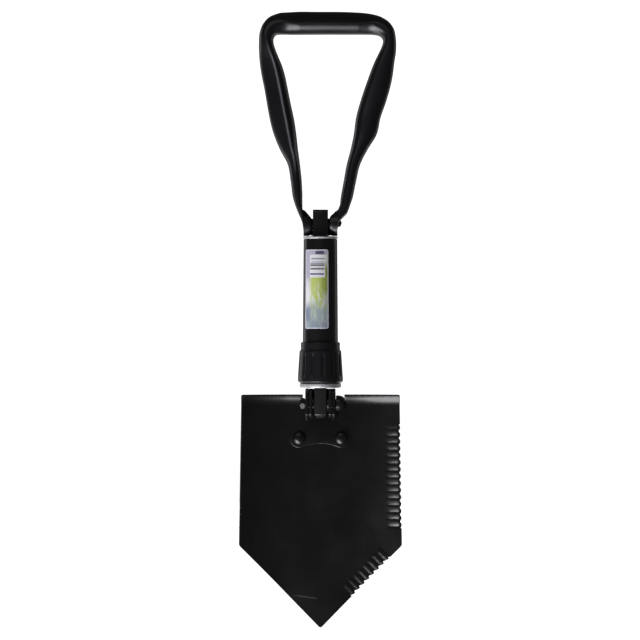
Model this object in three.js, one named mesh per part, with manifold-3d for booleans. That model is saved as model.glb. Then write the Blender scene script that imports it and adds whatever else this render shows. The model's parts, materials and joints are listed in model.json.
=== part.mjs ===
// Tri-fold camp shovel, standing open: D-handle at the top, pointed blade at the bottom.
// Millimetres. +X to the right, +Y to the back, +Z up. The origin is on the shaft's axis,
// half way along the tube that a hand holds. The blade's hollow side faces the front (-Y).
//
// How it works: a core (block, tie rod and tongue) joins the handle's pin to the blade's bolt
// through the tube. The lock nut runs on the tube's threaded end. Screwed down, it pushes the
// blade's ears one way and the tube's rim the other way, against the handle's lobes, and locks
// both. Screwed up, it lets the core slide a few millimetres, and both ends fold.

import * as THREE from "three";
import { mergeVertices } from "three/addons/utils/BufferGeometryUtils.js";
import Module from "manifold-3d";

const wasm = await Module();
wasm.setup();

// ---------------------------------------------------------------- driving dimensions

const DEG = Math.PI / 180;
const GAP = 0.3; // between pieces that touch

const PIVOT_Z = 62; // handle pin, on the shaft's axis
const HINGE_Z = -108; // blade bolt
const HINGE_Y = -10; // the bolt stands in front of the axis
const RIM_Z = 49.2; // top of the tube's bright rim

const TUBE_TOP_R = 15.9;
const TUBE_END_R = 16.75;
const TUBE_BORE_R = 14.9;
const TUBE_END_Z = -62;
const RIM_THICK = 2;
const RIM_R = 16.4;
const RIM_BORE_R = 13.6;

const THREAD_PITCH = 4;
const THREAD_R = 15.35; // middle of the tube end's thread
const THREAD_HALF = 0.45;
const THREAD_CLEAR = 0.35;
const THREAD_END_Z = -82.4;

const NUT_TOP_Z = -50.4;
const NUT_COLLAR_Z = -57.5;
const NUT_END_Z = -89.1;
const NUT_COLLAR_R = 18.45;
const NUT_FLUTE_TOP_R = 19.7;
const NUT_FLUTE_END_R = 21.3;
const FLUTES = 13;
const FLUTE_DEPTH = 0.9;

const WASHER_R = 19.6;
const WASHER_BORE_R = 14;
const WASHER_END_Z = -93.7;

const LOBE_R = 12.5; // lobe round the handle pin
const LOBE_IN = 7.9; // inner face of a lobe, from the axis
const ARM_IN = 16.8; // the arms straddle the tube outside this
const HANDLE_PIN_R = 3.2;
const HANDLE_PIN_HEAD_R = 3.8;
const HANDLE_PIN_HEAD_X = 16.5; // where the pin's head starts, outside the right lobe
const HANDLE_PIN_END_X = -15.6; // its other end, flush with the left lobe
const PIPE_WALL = 1.6;

const BLOCK_HALF_X = 6.7;
const BLOCK_HALF_Y = 11.3;
const BLOCK_TOP_Z = 74.4;
const BLOCK_END_Z = 30;
const ROD_R = 4.5;

const TONGUE_HALF_X = 5.6;
const TONGUE_STEM_Y = 11.6;
const EYE_R = 14; // tongue's and ears' eyes round the hinge bolt
const EYE_FLAT = 9; // from the bolt's axis to the eyes' flat fronts
const BOLT_R = 4;
const BOLT_HOLE_R = 4.3;
const EAR_IN = 11.1;
const EAR_OUT = 14.3;
const LINER_IN = 7.8; // round plates that line the ears, up to their hubs beside the tongue
const LINER_R = 13.8;
const BRACKET_FRONT_Y = 2.2;
const BRACKET_THICK = 2.2;

const RIVET_X = 19.9;
const RIVET_Z = -141;
const RIVET_HOLE_R = 3.3;

const BLADE_FRONT_Y = BRACKET_FRONT_Y + BRACKET_THICK;
const BLADE_THICK = 1.8;
const BLADE_TOP_Z = -100.5;
const BLADE_TOP_HALF = 74.7;
const BLADE_CORNER_HALF = 77;
const BLADE_CORNER_Z = -241.3;
const BLADE_TIP_Z = -320.6;
const NOTCH_LEFT = 16.6; // the top edge's notch for the hinge, each side of the axis
const NOTCH_RIGHT = 22.6;
const NOTCH_Z = -112.5;
const FLAT_HALF = 28; // the middle of the blade is flat, its wings curve to the front
const WING_R = 122.7;
const SIDE_RIBS = 15;
const SIDE_RIB_TOP_Z = -131.2;
const SIDE_RIB_PITCH = 6.55;
const SLANT_RIBS = 8;
const SLANT_RIB_START = 19; // along the slant, from the side corner
const SLANT_RIB_PITCH = 6.5;

// ---------------------------------------------------------------- solids from geometries

function toSolid(geometry) {
  const bare = geometry.clone();
  bare.deleteAttribute("normal");
  bare.deleteAttribute("uv");
  const merged = mergeVertices(bare, 1e-4);
  const index = merged.index.array;
  const triangles = [];
  for (let i = 0; i < index.length; i += 3) {
    const [a, b, c] = index.slice(i, i + 3);
    if (a !== b && b !== c && c !== a) triangles.push([a, b, c]);
  }
  const build = (faces) => new wasm.Manifold(new wasm.Mesh({
    numProp: 3,
    vertProperties: new Float32Array(merged.attributes.position.array),
    triVerts: Uint32Array.from(faces.flat()),
  }));
  const solid = build(triangles);
  return solid.volume() > 0 ? solid : build(triangles.map(([a, b, c]) => [a, c, b]));
}

function toGeometry(solid) {
  const mesh = solid.getMesh();
  const geometry = new THREE.BufferGeometry();
  geometry.setAttribute("position", new THREE.BufferAttribute(mesh.vertProperties, 3));
  geometry.setIndex(new THREE.BufferAttribute(mesh.triVerts, 1));
  geometry.computeVertexNormals();
  return geometry;
}

const joined = (...solids) => solids.reduce((whole, solid) => whole.add(solid));

// A box given by its lowest and highest corners.
function block(low, high) {
  const size = high.map((value, axis) => value - low[axis]);
  const geometry = new THREE.BoxGeometry(...size);
  geometry.translate(...high.map((value, axis) => (value + low[axis]) / 2));
  return toSolid(geometry);
}

// A profile of [radius, height] points turned round the Z axis, then aimed along another
// axis ("x", "-y" or "z") and moved to its place.
function turned(profile, { aim = "z", at = [0, 0, 0], sides = 36 } = {}) {
  const points = profile.map(([radius, height]) => new THREE.Vector2(radius, height));
  const geometry = new THREE.LatheGeometry(points, sides);
  geometry.rotateX(Math.PI / 2);
  if (aim === "x") geometry.rotateY(Math.PI / 2);
  if (aim === "-y") geometry.rotateX(Math.PI / 2);
  geometry.translate(...at);
  return toSolid(geometry);
}

const rod = (radius, from, to, place) => turned([[0, from], [radius, from], [radius, to], [0, to]], place);

const ring = (inner, outer, from, to, place) =>
  turned([[inner, from], [outer, from], [outer, to], [inner, to], [inner, from]], place);

// Points of a domed head: from the rim (radius, base) up to the axis (0, base + height).
function dome(radius, base, height, steps = 4) {
  const points = [];
  for (let i = 0; i <= steps; i++) {
    const angle = (i / steps) * 90 * DEG;
    points.push([radius * Math.cos(angle), base + height * Math.sin(angle)]);
  }
  points[steps][0] = 0;
  return points;
}

// A flat outline in X and Z, as thick as from y0 to y1.
function plateXZ(shape, y0, y1, curveSegments = 8) {
  const geometry = new THREE.ExtrudeGeometry(shape, { depth: y1 - y0, bevelEnabled: false, curveSegments });
  geometry.rotateX(Math.PI / 2);
  geometry.translate(0, y1, 0);
  return toSolid(geometry);
}

// A flat outline in Y and Z, as thick as from x0 to x1.
function plateYZ(shape, x0, x1, curveSegments = 24) {
  const geometry = new THREE.ExtrudeGeometry(shape, { depth: x1 - x0, bevelEnabled: false, curveSegments });
  const turn = new THREE.Matrix4().makeBasis(
    new THREE.Vector3(0, 1, 0),
    new THREE.Vector3(0, 0, 1),
    new THREE.Vector3(1, 0, 0),
  );
  geometry.applyMatrix4(turn);
  geometry.translate(x0, 0, 0);
  return toSolid(geometry);
}

const outline = (points) => new THREE.Shape(points.map(([a, b]) => new THREE.Vector2(a, b)));

function disc(a, b, radius) {
  const shape = new THREE.Shape();
  shape.absarc(a, b, radius, 0, 360 * DEG);
  return shape;
}

// A round eye about the hinge bolt, in Y and Z, with a flat front.
function eye(radius) {
  const reach = Math.PI - Math.acos(EYE_FLAT / EYE_R);
  const shape = new THREE.Shape();
  shape.absarc(HINGE_Y, HINGE_Z, radius, -reach, reach);
  return shape;
}

// A closed skin through rings of points, with flat ends.
// The ends are filled from "contour", the ring's own outline drawn flat.
function loft(rings, contour) {
  const count = rings[0].length;
  const index = [];
  for (let i = 0; i < rings.length - 1; i++) {
    for (let j = 0; j < count; j++) {
      const next = (j + 1) % count;
      const [a, b, c, d] = [i * count + j, i * count + next, (i + 1) * count + j, (i + 1) * count + next];
      index.push(a, b, c, b, d, c);
    }
  }
  const last = (rings.length - 1) * count;
  for (const [a, b, c] of THREE.ShapeUtils.triangulateShape(contour, [])) {
    const flip = THREE.ShapeUtils.area(contour) > 0;
    const [p, q] = flip ? [b, c] : [c, b];
    index.push(a, q, p, last + a, last + p, last + q);
  }
  const geometry = new THREE.BufferGeometry().setFromPoints(rings.flat());
  geometry.setIndex(index);
  return toSolid(geometry);
}

// A ring whose closed profile of {r, z} points may change its radius round the axis.
function shapedRing(profile, sides, radiusAt) {
  const positions = [];
  const index = [];
  const rows = profile.length;
  for (let i = 0; i < sides; i++) {
    const angle = (i / sides) * 360 * DEG;
    for (const point of profile) {
      const radius = radiusAt(point, angle);
      positions.push(new THREE.Vector3(radius * Math.cos(angle), radius * Math.sin(angle), point.z));
    }
    for (let j = 0; j < rows; j++) {
      const a = i * rows + j;
      const b = i * rows + ((j + 1) % rows);
      const c = ((i + 1) % sides) * rows + j;
      const d = ((i + 1) % sides) * rows + ((j + 1) % rows);
      index.push(a, c, b, b, c, d);
    }
  }
  const geometry = new THREE.BufferGeometry().setFromPoints(positions);
  geometry.setIndex(index);
  return toSolid(geometry);
}

// ---------------------------------------------------------------- shaft

function tubeRadius(z) {
  const share = (RIM_Z - z) / (RIM_Z - TUBE_END_Z);
  return TUBE_TOP_R + (TUBE_END_R - TUBE_TOP_R) * share;
}

function shaftTube() {
  const top = RIM_Z - RIM_THICK - GAP;
  return turned([
    [TUBE_BORE_R, TUBE_END_Z],
    [tubeRadius(TUBE_END_Z), TUBE_END_Z],
    [tubeRadius(top), top],
    [TUBE_BORE_R, top],
    [TUBE_BORE_R, TUBE_END_Z],
  ]);
}

function mouthCollar() {
  const skirtR = TUBE_BORE_R - GAP;
  const skirtDeep = 9;
  const under = RIM_Z - RIM_THICK;
  return turned([
    [RIM_BORE_R, under - skirtDeep],
    [skirtR, under - skirtDeep],
    [skirtR, under],
    [RIM_R, under],
    [RIM_R, RIM_Z - 0.5],
    [RIM_R - 0.5, RIM_Z],
    [RIM_BORE_R, RIM_Z],
    [RIM_BORE_R, under - skirtDeep],
  ]);
}

// Height of the right-hand thread's ridge: 1 on the crest, -1 in the root.
function ridge(z, angle) {
  return Math.cos((z / THREAD_PITCH) * 360 * DEG - angle);
}

const THREAD_STEPS_PER_TURN = 5;

function threadRows(fromZ, toZ, radius) {
  const step = THREAD_PITCH / THREAD_STEPS_PER_TURN;
  const count = Math.round((toZ - fromZ) / step);
  const rows = [];
  for (let i = 0; i <= count; i++) {
    rows.push({ r: radius, z: fromZ + ((toZ - fromZ) * i) / count, thread: true });
  }
  return rows;
}

const threaded = (point, angle) => point.r + (point.thread ? THREAD_HALF * ridge(point.z, angle) : 0);

function threadedEnd() {
  const top = TUBE_END_Z - GAP;
  const shoulderZ = top - 3;
  const boreR = 13.4;
  const shoulderR = 16.3;
  return shapedRing([
    { r: THREAD_R - THREAD_HALF, z: THREAD_END_Z },
    ...threadRows(THREAD_END_Z + 1, shoulderZ, THREAD_R),
    { r: shoulderR, z: shoulderZ + 0.8 },
    { r: shoulderR, z: top },
    { r: boreR, z: top },
    { r: boreR, z: THREAD_END_Z },
  ], 24, threaded);
}

// A thin curved sheet on the tube's front, a little left of its middle.
function productLabel() {
  const [topZ, endZ] = [36.6, -37.8];
  const [fromAngle, toAngle] = [-147 * DEG, -63 * DEG];
  const lift = 0.15;
  const thick = 0.25;
  const columns = 16;
  const rings = [];
  for (const z of [endZ, topZ]) {
    const points = [];
    for (const [side, radius] of [[0, tubeRadius(z) + lift + thick], [1, tubeRadius(z) + lift]]) {
      for (let i = 0; i <= columns; i++) {
        const share = side ? 1 - i / columns : i / columns;
        const angle = fromAngle + (toAngle - fromAngle) * share;
        points.push(new THREE.Vector3(radius * Math.cos(angle), radius * Math.sin(angle), z));
      }
    }
    rings.push(points);
  }
  return loft(rings, rings[0].map((point) => new THREE.Vector2(point.x, point.y)));
}

function rodGuide() {
  const [low, high] = [-12, -4];
  return ring(ROD_R + 0.4, TUBE_BORE_R - GAP, low, high);
}

// ---------------------------------------------------------------- lock nut

function lockNutGrip() {
  const boreTop = 17.3;
  const boreSeat = 18;
  const seatZ = -62;
  const lip = 1.4;
  const fluteTopZ = NUT_COLLAR_Z - 1.6;
  const fluteEndZ = NUT_END_Z + 5;
  const chamferR = 19.9;
  const profile = [
    { r: boreSeat, z: NUT_END_Z },
    { r: chamferR, z: NUT_END_Z },
    { r: NUT_FLUTE_END_R, z: NUT_END_Z + 2.2 },
    { r: NUT_FLUTE_END_R, z: fluteEndZ - 1.2 },
    { r: NUT_FLUTE_END_R, z: fluteEndZ, flute: 1 },
    { r: NUT_FLUTE_TOP_R, z: fluteTopZ, flute: 1 },
    { r: NUT_COLLAR_R, z: NUT_COLLAR_Z },
    { r: NUT_COLLAR_R, z: NUT_TOP_Z - lip },
    { r: NUT_COLLAR_R - 0.7, z: NUT_TOP_Z },
    { r: boreTop, z: NUT_TOP_Z },
    { r: boreTop, z: seatZ },
    { r: boreSeat, z: seatZ - 0.8 },
  ];
  const groove = (angle) => Math.max(0, Math.cos(angle * FLUTES) - 0.3) / 0.7;
  return shapedRing(profile, FLUTES * 4, (point, angle) =>
    point.r - (point.flute ? FLUTE_DEPTH * groove(angle) : 0));
}

function lockNutInsert() {
  const outerR = 17.7;
  const top = -63.2;
  const end = -88.8;
  const threadTop = -72;
  const reliefR = 16.9;
  const female = THREAD_R + THREAD_CLEAR;
  return shapedRing([
    { r: outerR, z: end },
    { r: outerR, z: top },
    { r: reliefR, z: top },
    { r: reliefR, z: threadTop },
    ...threadRows(end + 2, threadTop - 0.8, female).reverse(),
    { r: female + THREAD_HALF, z: end },
  ], 24, threaded);
}

function thrustWasher() {
  const top = NUT_END_Z - GAP;
  return turned([
    [WASHER_BORE_R, WASHER_END_Z],
    [WASHER_R - 0.8, WASHER_END_Z],
    [WASHER_R, WASHER_END_Z + 0.8],
    [WASHER_R, top - 0.8],
    [WASHER_R - 0.8, top],
    [WASHER_BORE_R, top],
    [WASHER_BORE_R, WASHER_END_Z],
  ]);
}

// ---------------------------------------------------------------- core

const ROD_TOP_Z = 52;
const ROD_END_Z = -80;
const UPPER_PIN_Z = 38;
const LOWER_PIN_Z = -74;
const ROLL_PIN_R = 1.5;

function handleBlock() {
  const body = block([-BLOCK_HALF_X, -BLOCK_HALF_Y, BLOCK_END_Z], [BLOCK_HALF_X, BLOCK_HALF_Y, BLOCK_TOP_Z]);
  return body
    .subtract(rod(HANDLE_PIN_R + GAP, -20, 20, { aim: "x", at: [0, 0, PIVOT_Z], sides: 24 }))
    .subtract(rod(ROD_R + GAP, BLOCK_END_Z - 5, ROD_TOP_Z + GAP, { sides: 24 }))
    .subtract(rod(ROLL_PIN_R + GAP, -20, 20, { aim: "-y", at: [0, 0, UPPER_PIN_Z], sides: 16 }));
}

function tieRod() {
  const plain = rod(ROD_R, ROD_END_Z, ROD_TOP_Z, { sides: 24 });
  const hole = (z) => rod(ROLL_PIN_R + GAP, -20, 20, { aim: "-y", at: [0, 0, z], sides: 16 });
  return plain.subtract(hole(UPPER_PIN_Z)).subtract(hole(LOWER_PIN_Z));
}

const rollPin = (z) => rod(ROLL_PIN_R, -BLOCK_HALF_Y + 1, BLOCK_HALF_Y - 1, { aim: "-y", at: [0, 0, z], sides: 16 });

function hingeTongue() {
  const stemTopZ = -66;
  const rootTopZ = WASHER_END_Z - 0.6;
  const x = TONGUE_HALF_X;
  const rootBackY = HINGE_Y + EYE_R;
  const stem = block([-x, -TONGUE_STEM_Y, rootTopZ], [x, TONGUE_STEM_Y, stemTopZ]);
  const neck = block([-x, -TONGUE_STEM_Y, HINGE_Z], [x, rootBackY, stemTopZ]);
  const root = block([-x, HINGE_Y - EYE_FLAT, HINGE_Z], [x, rootBackY, rootTopZ]);
  return joined(stem, neck, root, plateYZ(eye(EYE_R), -x, x))
    .subtract(rod(BOLT_HOLE_R, -20, 20, { aim: "x", at: [0, HINGE_Y, HINGE_Z], sides: 24 }))
    .subtract(rod(ROD_R + GAP, ROD_END_Z - GAP, stemTopZ + 5, { sides: 24 }))
    .subtract(rod(ROLL_PIN_R + GAP, -20, 20, { aim: "-y", at: [0, 0, LOWER_PIN_Z], sides: 16 }));
}

// ---------------------------------------------------------------- handle

// The bent pipe's middle line from the left arm's foot round to the right arm's foot:
// x, z, its width as seen from the front, and its depth from front to back.
const LOOP = [
  [-18.4, 72, 5, 22],
  [-20.6, 79, 7.8, 26],
  [-21.4, 86, 9, 28],
  [-22.9, 101, 10.8, 29],
  [-25.2, 117, 12, 28.5],
  [-29.8, 132, 17, 27],
  [-34.2, 149, 21.6, 24.5],
  [-38.4, 168, 22.4, 23.5],
  [-42.6, 190, 21.6, 23.5],
  [-46.4, 209, 20.6, 24],
  [-49.8, 226, 16.4, 25],
  [-50.4, 241, 15.6, 25],
  [-42, 248.9, 18.6, 24.5],
  [-27, 250.4, 21.4, 24],
  [0, 250.6, 21.8, 24],
  [30, 250.4, 21.4, 24],
  [50, 248.9, 18.6, 24.5],
  [61.6, 243.4, 15.6, 25],
  [64.8, 230, 14.2, 25.5],
  [60.9, 213, 18.6, 25],
  [56, 197, 22.4, 24],
  [50.2, 177, 23.8, 23.5],
  [45.6, 160, 22.6, 24.5],
  [41.4, 145, 20.4, 25.5],
  [36.2, 131, 15.8, 27],
  [31.4, 117, 12.8, 28.5],
  [27.6, 101, 11.8, 29],
  [24.8, 86, 11, 28],
  [23.3, 79, 10, 26],
  [20.6, 72, 6, 22],
];

function pipe(stations, inset, sides, stepsPerStation) {
  const middle = new THREE.CatmullRomCurve3(stations.map(([x, z]) => new THREE.Vector3(x, 0, z)));
  const sizes = new THREE.CatmullRomCurve3(stations.map(([, , width, depth]) => new THREE.Vector3(width, depth, 0)));
  const squareness = 2 / 2.3;
  const steps = (stations.length - 1) * stepsPerStation;
  const contour = [];
  const rings = [];
  for (let i = 0; i <= steps; i++) {
    const centre = middle.getPoint(i / steps);
    const along = middle.getTangent(i / steps);
    const across = new THREE.Vector3(along.z, 0, -along.x);
    const size = sizes.getPoint(i / steps);
    const points = [];
    for (let j = 0; j < sides; j++) {
      const angle = ((j + 0.5) / sides) * 360 * DEG;
      const wide = Math.sign(Math.cos(angle)) * Math.abs(Math.cos(angle)) ** squareness;
      const deep = Math.sign(Math.sin(angle)) * Math.abs(Math.sin(angle)) ** squareness;
      const point = centre.clone().addScaledVector(across, (size.x / 2 - inset) * wide);
      point.y = (size.y / 2 - inset) * deep;
      points.push(point);
      if (i === 0) contour.push(new THREE.Vector2(wide, deep));
    }
    rings.push(points);
  }
  return loft(rings, contour);
}

// The pinched foot of one arm: its front outline, kept inside its side outline.
function armFoot(front) {
  const side = new THREE.Shape();
  const topHalf = 10.5;
  side.moveTo(-topHalf, 83);
  side.lineTo(-LOBE_R, 66);
  side.lineTo(-LOBE_R, PIVOT_Z);
  side.absarc(0, PIVOT_Z, LOBE_R, 180 * DEG, 360 * DEG);
  side.lineTo(LOBE_R, 66);
  side.lineTo(topHalf, 83);
  return plateXZ(outline(front), -20, 20).intersect(plateYZ(side, -60, 60));
}

const LOBE_LOW_Z = PIVOT_Z - LOBE_R;

const LEFT_FOOT = [
  [-LOBE_IN, LOBE_LOW_Z],
  [-LOBE_IN, 65.6],
  [-9, 67],
  [-ARM_IN, 76.6],
  [-ARM_IN - 0.2, 81.5],
  [-23.6, 81.5],
  [-22.9, 76],
  [-20.2, 69],
  [-17.4, 63.4],
  [-16.4, 58],
  [-15.3, LOBE_LOW_Z],
];

const RIGHT_FOOT = [
  [LOBE_IN, LOBE_LOW_Z],
  [15.3, LOBE_LOW_Z],
  [16.4, 58],
  [17.6, 63.4],
  [24.4, 69.6],
  [27.4, 75.5],
  [28, 81.5],
  [18.6, 81.5],
  [18, 76.4],
  [9.2, 68.8],
  [8.6, 64.6],
  [LOBE_IN, 64],
];

function handleLoop() {
  const skin = pipe(LOOP, 0, 14, 2);
  const hollow = pipe(LOOP.slice(1, -1), PIPE_WALL, 8, 1);
  const vent = (x) => rod(1.5, x - 3, x + 3, { aim: "x", at: [0, 0, 94], sides: 10 });
  const slab = block([-ARM_IN, -40, 20], [ARM_IN, 40, 100]);
  const lobeReach = LOBE_R + 0.3;
  const headSeat = rod(HANDLE_PIN_HEAD_R + GAP, HANDLE_PIN_HEAD_X - GAP, 40, { aim: "x", at: [0, 0, PIVOT_Z] });
  const keepClear = slab.subtract(plateYZ(disc(0, PIVOT_Z, lobeReach), -40, 40));
  return joined(skin, armFoot(LEFT_FOOT), armFoot(RIGHT_FOOT))
    .subtract(keepClear)
    .subtract(hollow)
    .subtract(headSeat)
    .subtract(vent(-17.5))
    .subtract(vent(21))
    .subtract(rod(HANDLE_PIN_R + GAP, -40, 40, { aim: "x", at: [0, 0, PIVOT_Z], sides: 24 }));
}

// Pin with a domed head standing out on the right and a flush end on the left.
function handlePin() {
  return turned([
    [0, HANDLE_PIN_END_X],
    [HANDLE_PIN_R, HANDLE_PIN_END_X],
    [HANDLE_PIN_R, HANDLE_PIN_HEAD_X],
    [HANDLE_PIN_HEAD_R, HANDLE_PIN_HEAD_X],
    ...dome(HANDLE_PIN_HEAD_R, HANDLE_PIN_HEAD_X + 1.6, 2.2),
  ], { aim: "x", at: [0, 0, PIVOT_Z], sides: 24 });
}

function handleWasher(side) {
  const [near, far] = [BLOCK_HALF_X + GAP, LOBE_IN - GAP].map((x) => x * side).sort((a, b) => a - b);
  return ring(HANDLE_PIN_R + GAP, 8, near, far, { aim: "x", at: [0, 0, PIVOT_Z], sides: 24 });
}

// ---------------------------------------------------------------- blade hinge

function bracketOutline() {
  const half = new THREE.Path();
  half.moveTo(0, -117.5);
  half.lineTo(EAR_OUT, -117.5);
  half.lineTo(EAR_OUT, -124);
  half.quadraticCurveTo(15, -131, 21.95, -131.64);
  half.absarc(RIVET_X, RIVET_Z, 9.5, 80 * DEG, -100 * DEG, true);
  half.quadraticCurveTo(11, -146.9, 0, -146.6);
  const right = half.getPoints(5);
  const left = right.slice(1, -1).reverse().map((point) => new THREE.Vector2(-point.x, point.y));
  return new THREE.Shape([...right, ...left]);
}

// The ears stand to the front of the plate, and a web joins their backs above it, in the
// blade's notch, so that the three make one channel.
const WEB_TOP_Z = -94.6;
const WEB_END_Z = -109;
const WEB_BACK_Y = BLADE_FRONT_Y + 2;

function ear(side) {
  const [low, high] = [EAR_IN * side, EAR_OUT * side].sort((a, b) => a - b);
  const shape = outline([
    [WEB_BACK_Y, WEB_TOP_Z],
    [WEB_BACK_Y, WEB_END_Z],
    [BLADE_FRONT_Y, WEB_END_Z],
    [BLADE_FRONT_Y, -124.5],
    [BRACKET_FRONT_Y, -124.5],
    [-5, -120.5],
    [HINGE_Y, HINGE_Z],
    [HINGE_Y, WEB_TOP_Z],
  ]);
  return joined(plateYZ(shape, low, high), plateYZ(eye(EYE_R), low, high));
}

const rivetHole = (side) =>
  rod(RIVET_HOLE_R, -20, 20, { aim: "-y", at: [RIVET_X * side, 0, RIVET_Z], sides: 20 });

function hingeBracket() {
  const web = block([-EAR_OUT, WEB_BACK_Y - 2, WEB_END_Z], [EAR_OUT, WEB_BACK_Y, WEB_TOP_Z]);
  const onBlade = block([-60, BLADE_FRONT_Y - GAP, -200], [60, 60, WEB_END_Z]);
  return joined(plateXZ(bracketOutline(), BRACKET_FRONT_Y, BLADE_FRONT_Y), ear(-1), ear(1), web)
    .subtract(onBlade)
    .subtract(rivetHole(-1))
    .subtract(rivetHole(1))
    .subtract(rod(BOLT_HOLE_R, -20, 20, { aim: "x", at: [0, HINGE_Y, HINGE_Z], sides: 24 }));
}

function bladeRivet(side) {
  const shankR = 3;
  const tailR = 4.8;
  const front = -(BRACKET_FRONT_Y - GAP);
  const back = -(BLADE_FRONT_Y + BLADE_THICK + GAP);
  return turned([
    [0, back - 1.4],
    [tailR - 0.8, back - 1.4],
    [tailR, back - 0.6],
    [tailR, back],
    [shankR, back],
    [shankR, front],
    ...dome(6, front, 3.1),
  ], { aim: "-y", at: [RIVET_X * side, 0, RIVET_Z], sides: 20 });
}

function hingeBolt() {
  const headFrom = EAR_OUT + GAP;
  const headR = 7.5;
  const end = -19.8;
  return turned([
    [0, end],
    [BOLT_R - 0.6, end],
    [BOLT_R, end + 0.6],
    [BOLT_R, headFrom],
    [headR, headFrom],
    ...dome(headR, headFrom + 3.4, 6.4),
  ], { aim: "x", at: [0, HINGE_Y, HINGE_Z], sides: 24 });
}

function hingeBoltNut() {
  const [from, to] = [-EAR_OUT - GAP - 4, -EAR_OUT - GAP];
  const place = { aim: "x", at: [0, HINGE_Y, HINGE_Z], sides: 6 };
  return rod(5.8, from, to, place).subtract(rod(BOLT_HOLE_R, from - 2, to + 2, { ...place, sides: 24 }));
}

// A liner between the tongue and an ear: a plate like the ear's eye, with a round hub.
function hingeSpacer(side) {
  const hubR = 8.5;
  const place = { aim: "x", at: [0, HINGE_Y, HINGE_Z], sides: 24 };
  const span = (near, far) => [near * side, far * side].sort((a, b) => a - b);
  return joined(
    plateYZ(eye(LINER_R), ...span(LINER_IN, EAR_IN - GAP)),
    rod(hubR, ...span(TONGUE_HALF_X + GAP, LINER_IN + 1), place),
  ).subtract(rod(BOLT_HOLE_R, -20, 20, place));
}

// ---------------------------------------------------------------- blade

// How far the wings have curved to the front at x.
const wing = (x) => Math.max(0, Math.abs(x) - FLAT_HALF) ** 2 / (2 * WING_R);

const bladeFront = (x) => BLADE_FRONT_Y - wing(x);

// The blade's sheet before it is cut to its outline: a curved strip, drawn in X and Y.
function bladeSheet() {
  const reach = 82;
  const columns = 16;
  const front = [];
  const back = [];
  for (let i = 0; i <= columns; i++) {
    const x = -reach + (2 * reach * i) / columns;
    front.push([x, bladeFront(x)]);
    back.unshift([x, bladeFront(x) + BLADE_THICK]);
  }
  const low = BLADE_TIP_Z - 5;
  const geometry = new THREE.ExtrudeGeometry(outline([...front, ...back]), {
    depth: BLADE_TOP_Z + 5 - low,
    bevelEnabled: false,
  });
  geometry.translate(0, 0, low);
  return toSolid(geometry);
}

const sideCorner = new THREE.Vector2(BLADE_CORNER_HALF, BLADE_CORNER_Z);
const tip = new THREE.Vector2(0, BLADE_TIP_Z);
const slantAlong = tip.clone().sub(sideCorner).normalize();
const slantOut = new THREE.Vector2(-slantAlong.y, slantAlong.x);

const sideX = (z) => BLADE_TOP_HALF
  + ((BLADE_CORNER_HALF - BLADE_TOP_HALF) * (BLADE_TOP_Z - z)) / (BLADE_TOP_Z - BLADE_CORNER_Z);

// The toothed edges: each rib ends in a rounded tooth, with a rounded gap between two teeth.
const TOOTH_SAMPLES = 4;

function sideTeeth() {
  const relief = 0.8;
  const points = [];
  for (let i = 0; i < SIDE_RIBS * TOOTH_SAMPLES; i++) {
    const turns = i / TOOTH_SAMPLES - 0.5;
    const z = SIDE_RIB_TOP_Z - turns * SIDE_RIB_PITCH;
    points.push([sideX(z) - relief + relief * Math.cos(turns * 360 * DEG), z]);
  }
  return points;
}

function slantTeeth() {
  const relief = 1.3;
  const points = [];
  for (let i = 0; i < SLANT_RIBS * TOOTH_SAMPLES; i++) {
    const turns = i / TOOTH_SAMPLES - 0.5;
    const point = sideCorner.clone()
      .addScaledVector(slantAlong, SLANT_RIB_START + turns * SLANT_RIB_PITCH)
      .addScaledVector(slantOut, relief * (Math.cos(turns * 360 * DEG) - 0.6));
    points.push([point.x, point.y]);
  }
  return points;
}

function bladeOutline() {
  const notchRound = 4;
  const round = 1.6;
  const tipRound = 2.2;
  return outline([
    [-NOTCH_LEFT + notchRound, NOTCH_Z],
    [NOTCH_RIGHT - notchRound, NOTCH_Z],
    [NOTCH_RIGHT, NOTCH_Z + notchRound],
    [NOTCH_RIGHT, BLADE_TOP_Z],
    [BLADE_TOP_HALF - round, BLADE_TOP_Z],
    [BLADE_TOP_HALF, BLADE_TOP_Z - round],
    ...sideTeeth(),
    [BLADE_CORNER_HALF, BLADE_CORNER_Z + round],
    [BLADE_CORNER_HALF - round, BLADE_CORNER_Z - round],
    ...slantTeeth(),
    [tipRound, BLADE_TIP_Z + 1.6],
    [0.8, BLADE_TIP_Z + 0.3],
    [-0.8, BLADE_TIP_Z + 0.3],
    [-tipRound, BLADE_TIP_Z + 1.6],
    [-BLADE_CORNER_HALF + round, BLADE_CORNER_Z - round],
    [-BLADE_CORNER_HALF, BLADE_CORNER_Z + round],
    [-BLADE_TOP_HALF, BLADE_TOP_Z - round],
    [-BLADE_TOP_HALF + round, BLADE_TOP_Z],
    [-NOTCH_LEFT, BLADE_TOP_Z],
    [-NOTCH_LEFT, NOTCH_Z + notchRound],
  ]);
}

// A pressed rib on the blade's front, from an inner end to the edge (points in X and Z).
function rib(inner, outer, halfWide, height) {
  const across = new THREE.Vector2(-(outer.y - inner.y), outer.x - inner.x).normalize();
  const shares = [[0, 0.3], [0.16, 1], [1, 1]];
  const sides = 6;
  const contour = [];
  const rings = shares.map(([share, scale]) => {
    const centre = inner.clone().lerp(outer, share);
    const points = [];
    for (let i = 0; i < sides; i++) {
      const angle = ((i + 0.5) / sides) * 360 * DEG;
      const wide = halfWide * scale * Math.cos(angle);
      const tall = height * scale * Math.sin(angle);
      const x = centre.x + across.x * wide;
      points.push(new THREE.Vector3(x, bladeFront(x) + 0.2 - tall, centre.y + across.y * wide));
      if (share === 0) contour.push(new THREE.Vector2(wide, tall));
    }
    return points;
  });
  return loft(rings, contour);
}

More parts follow.
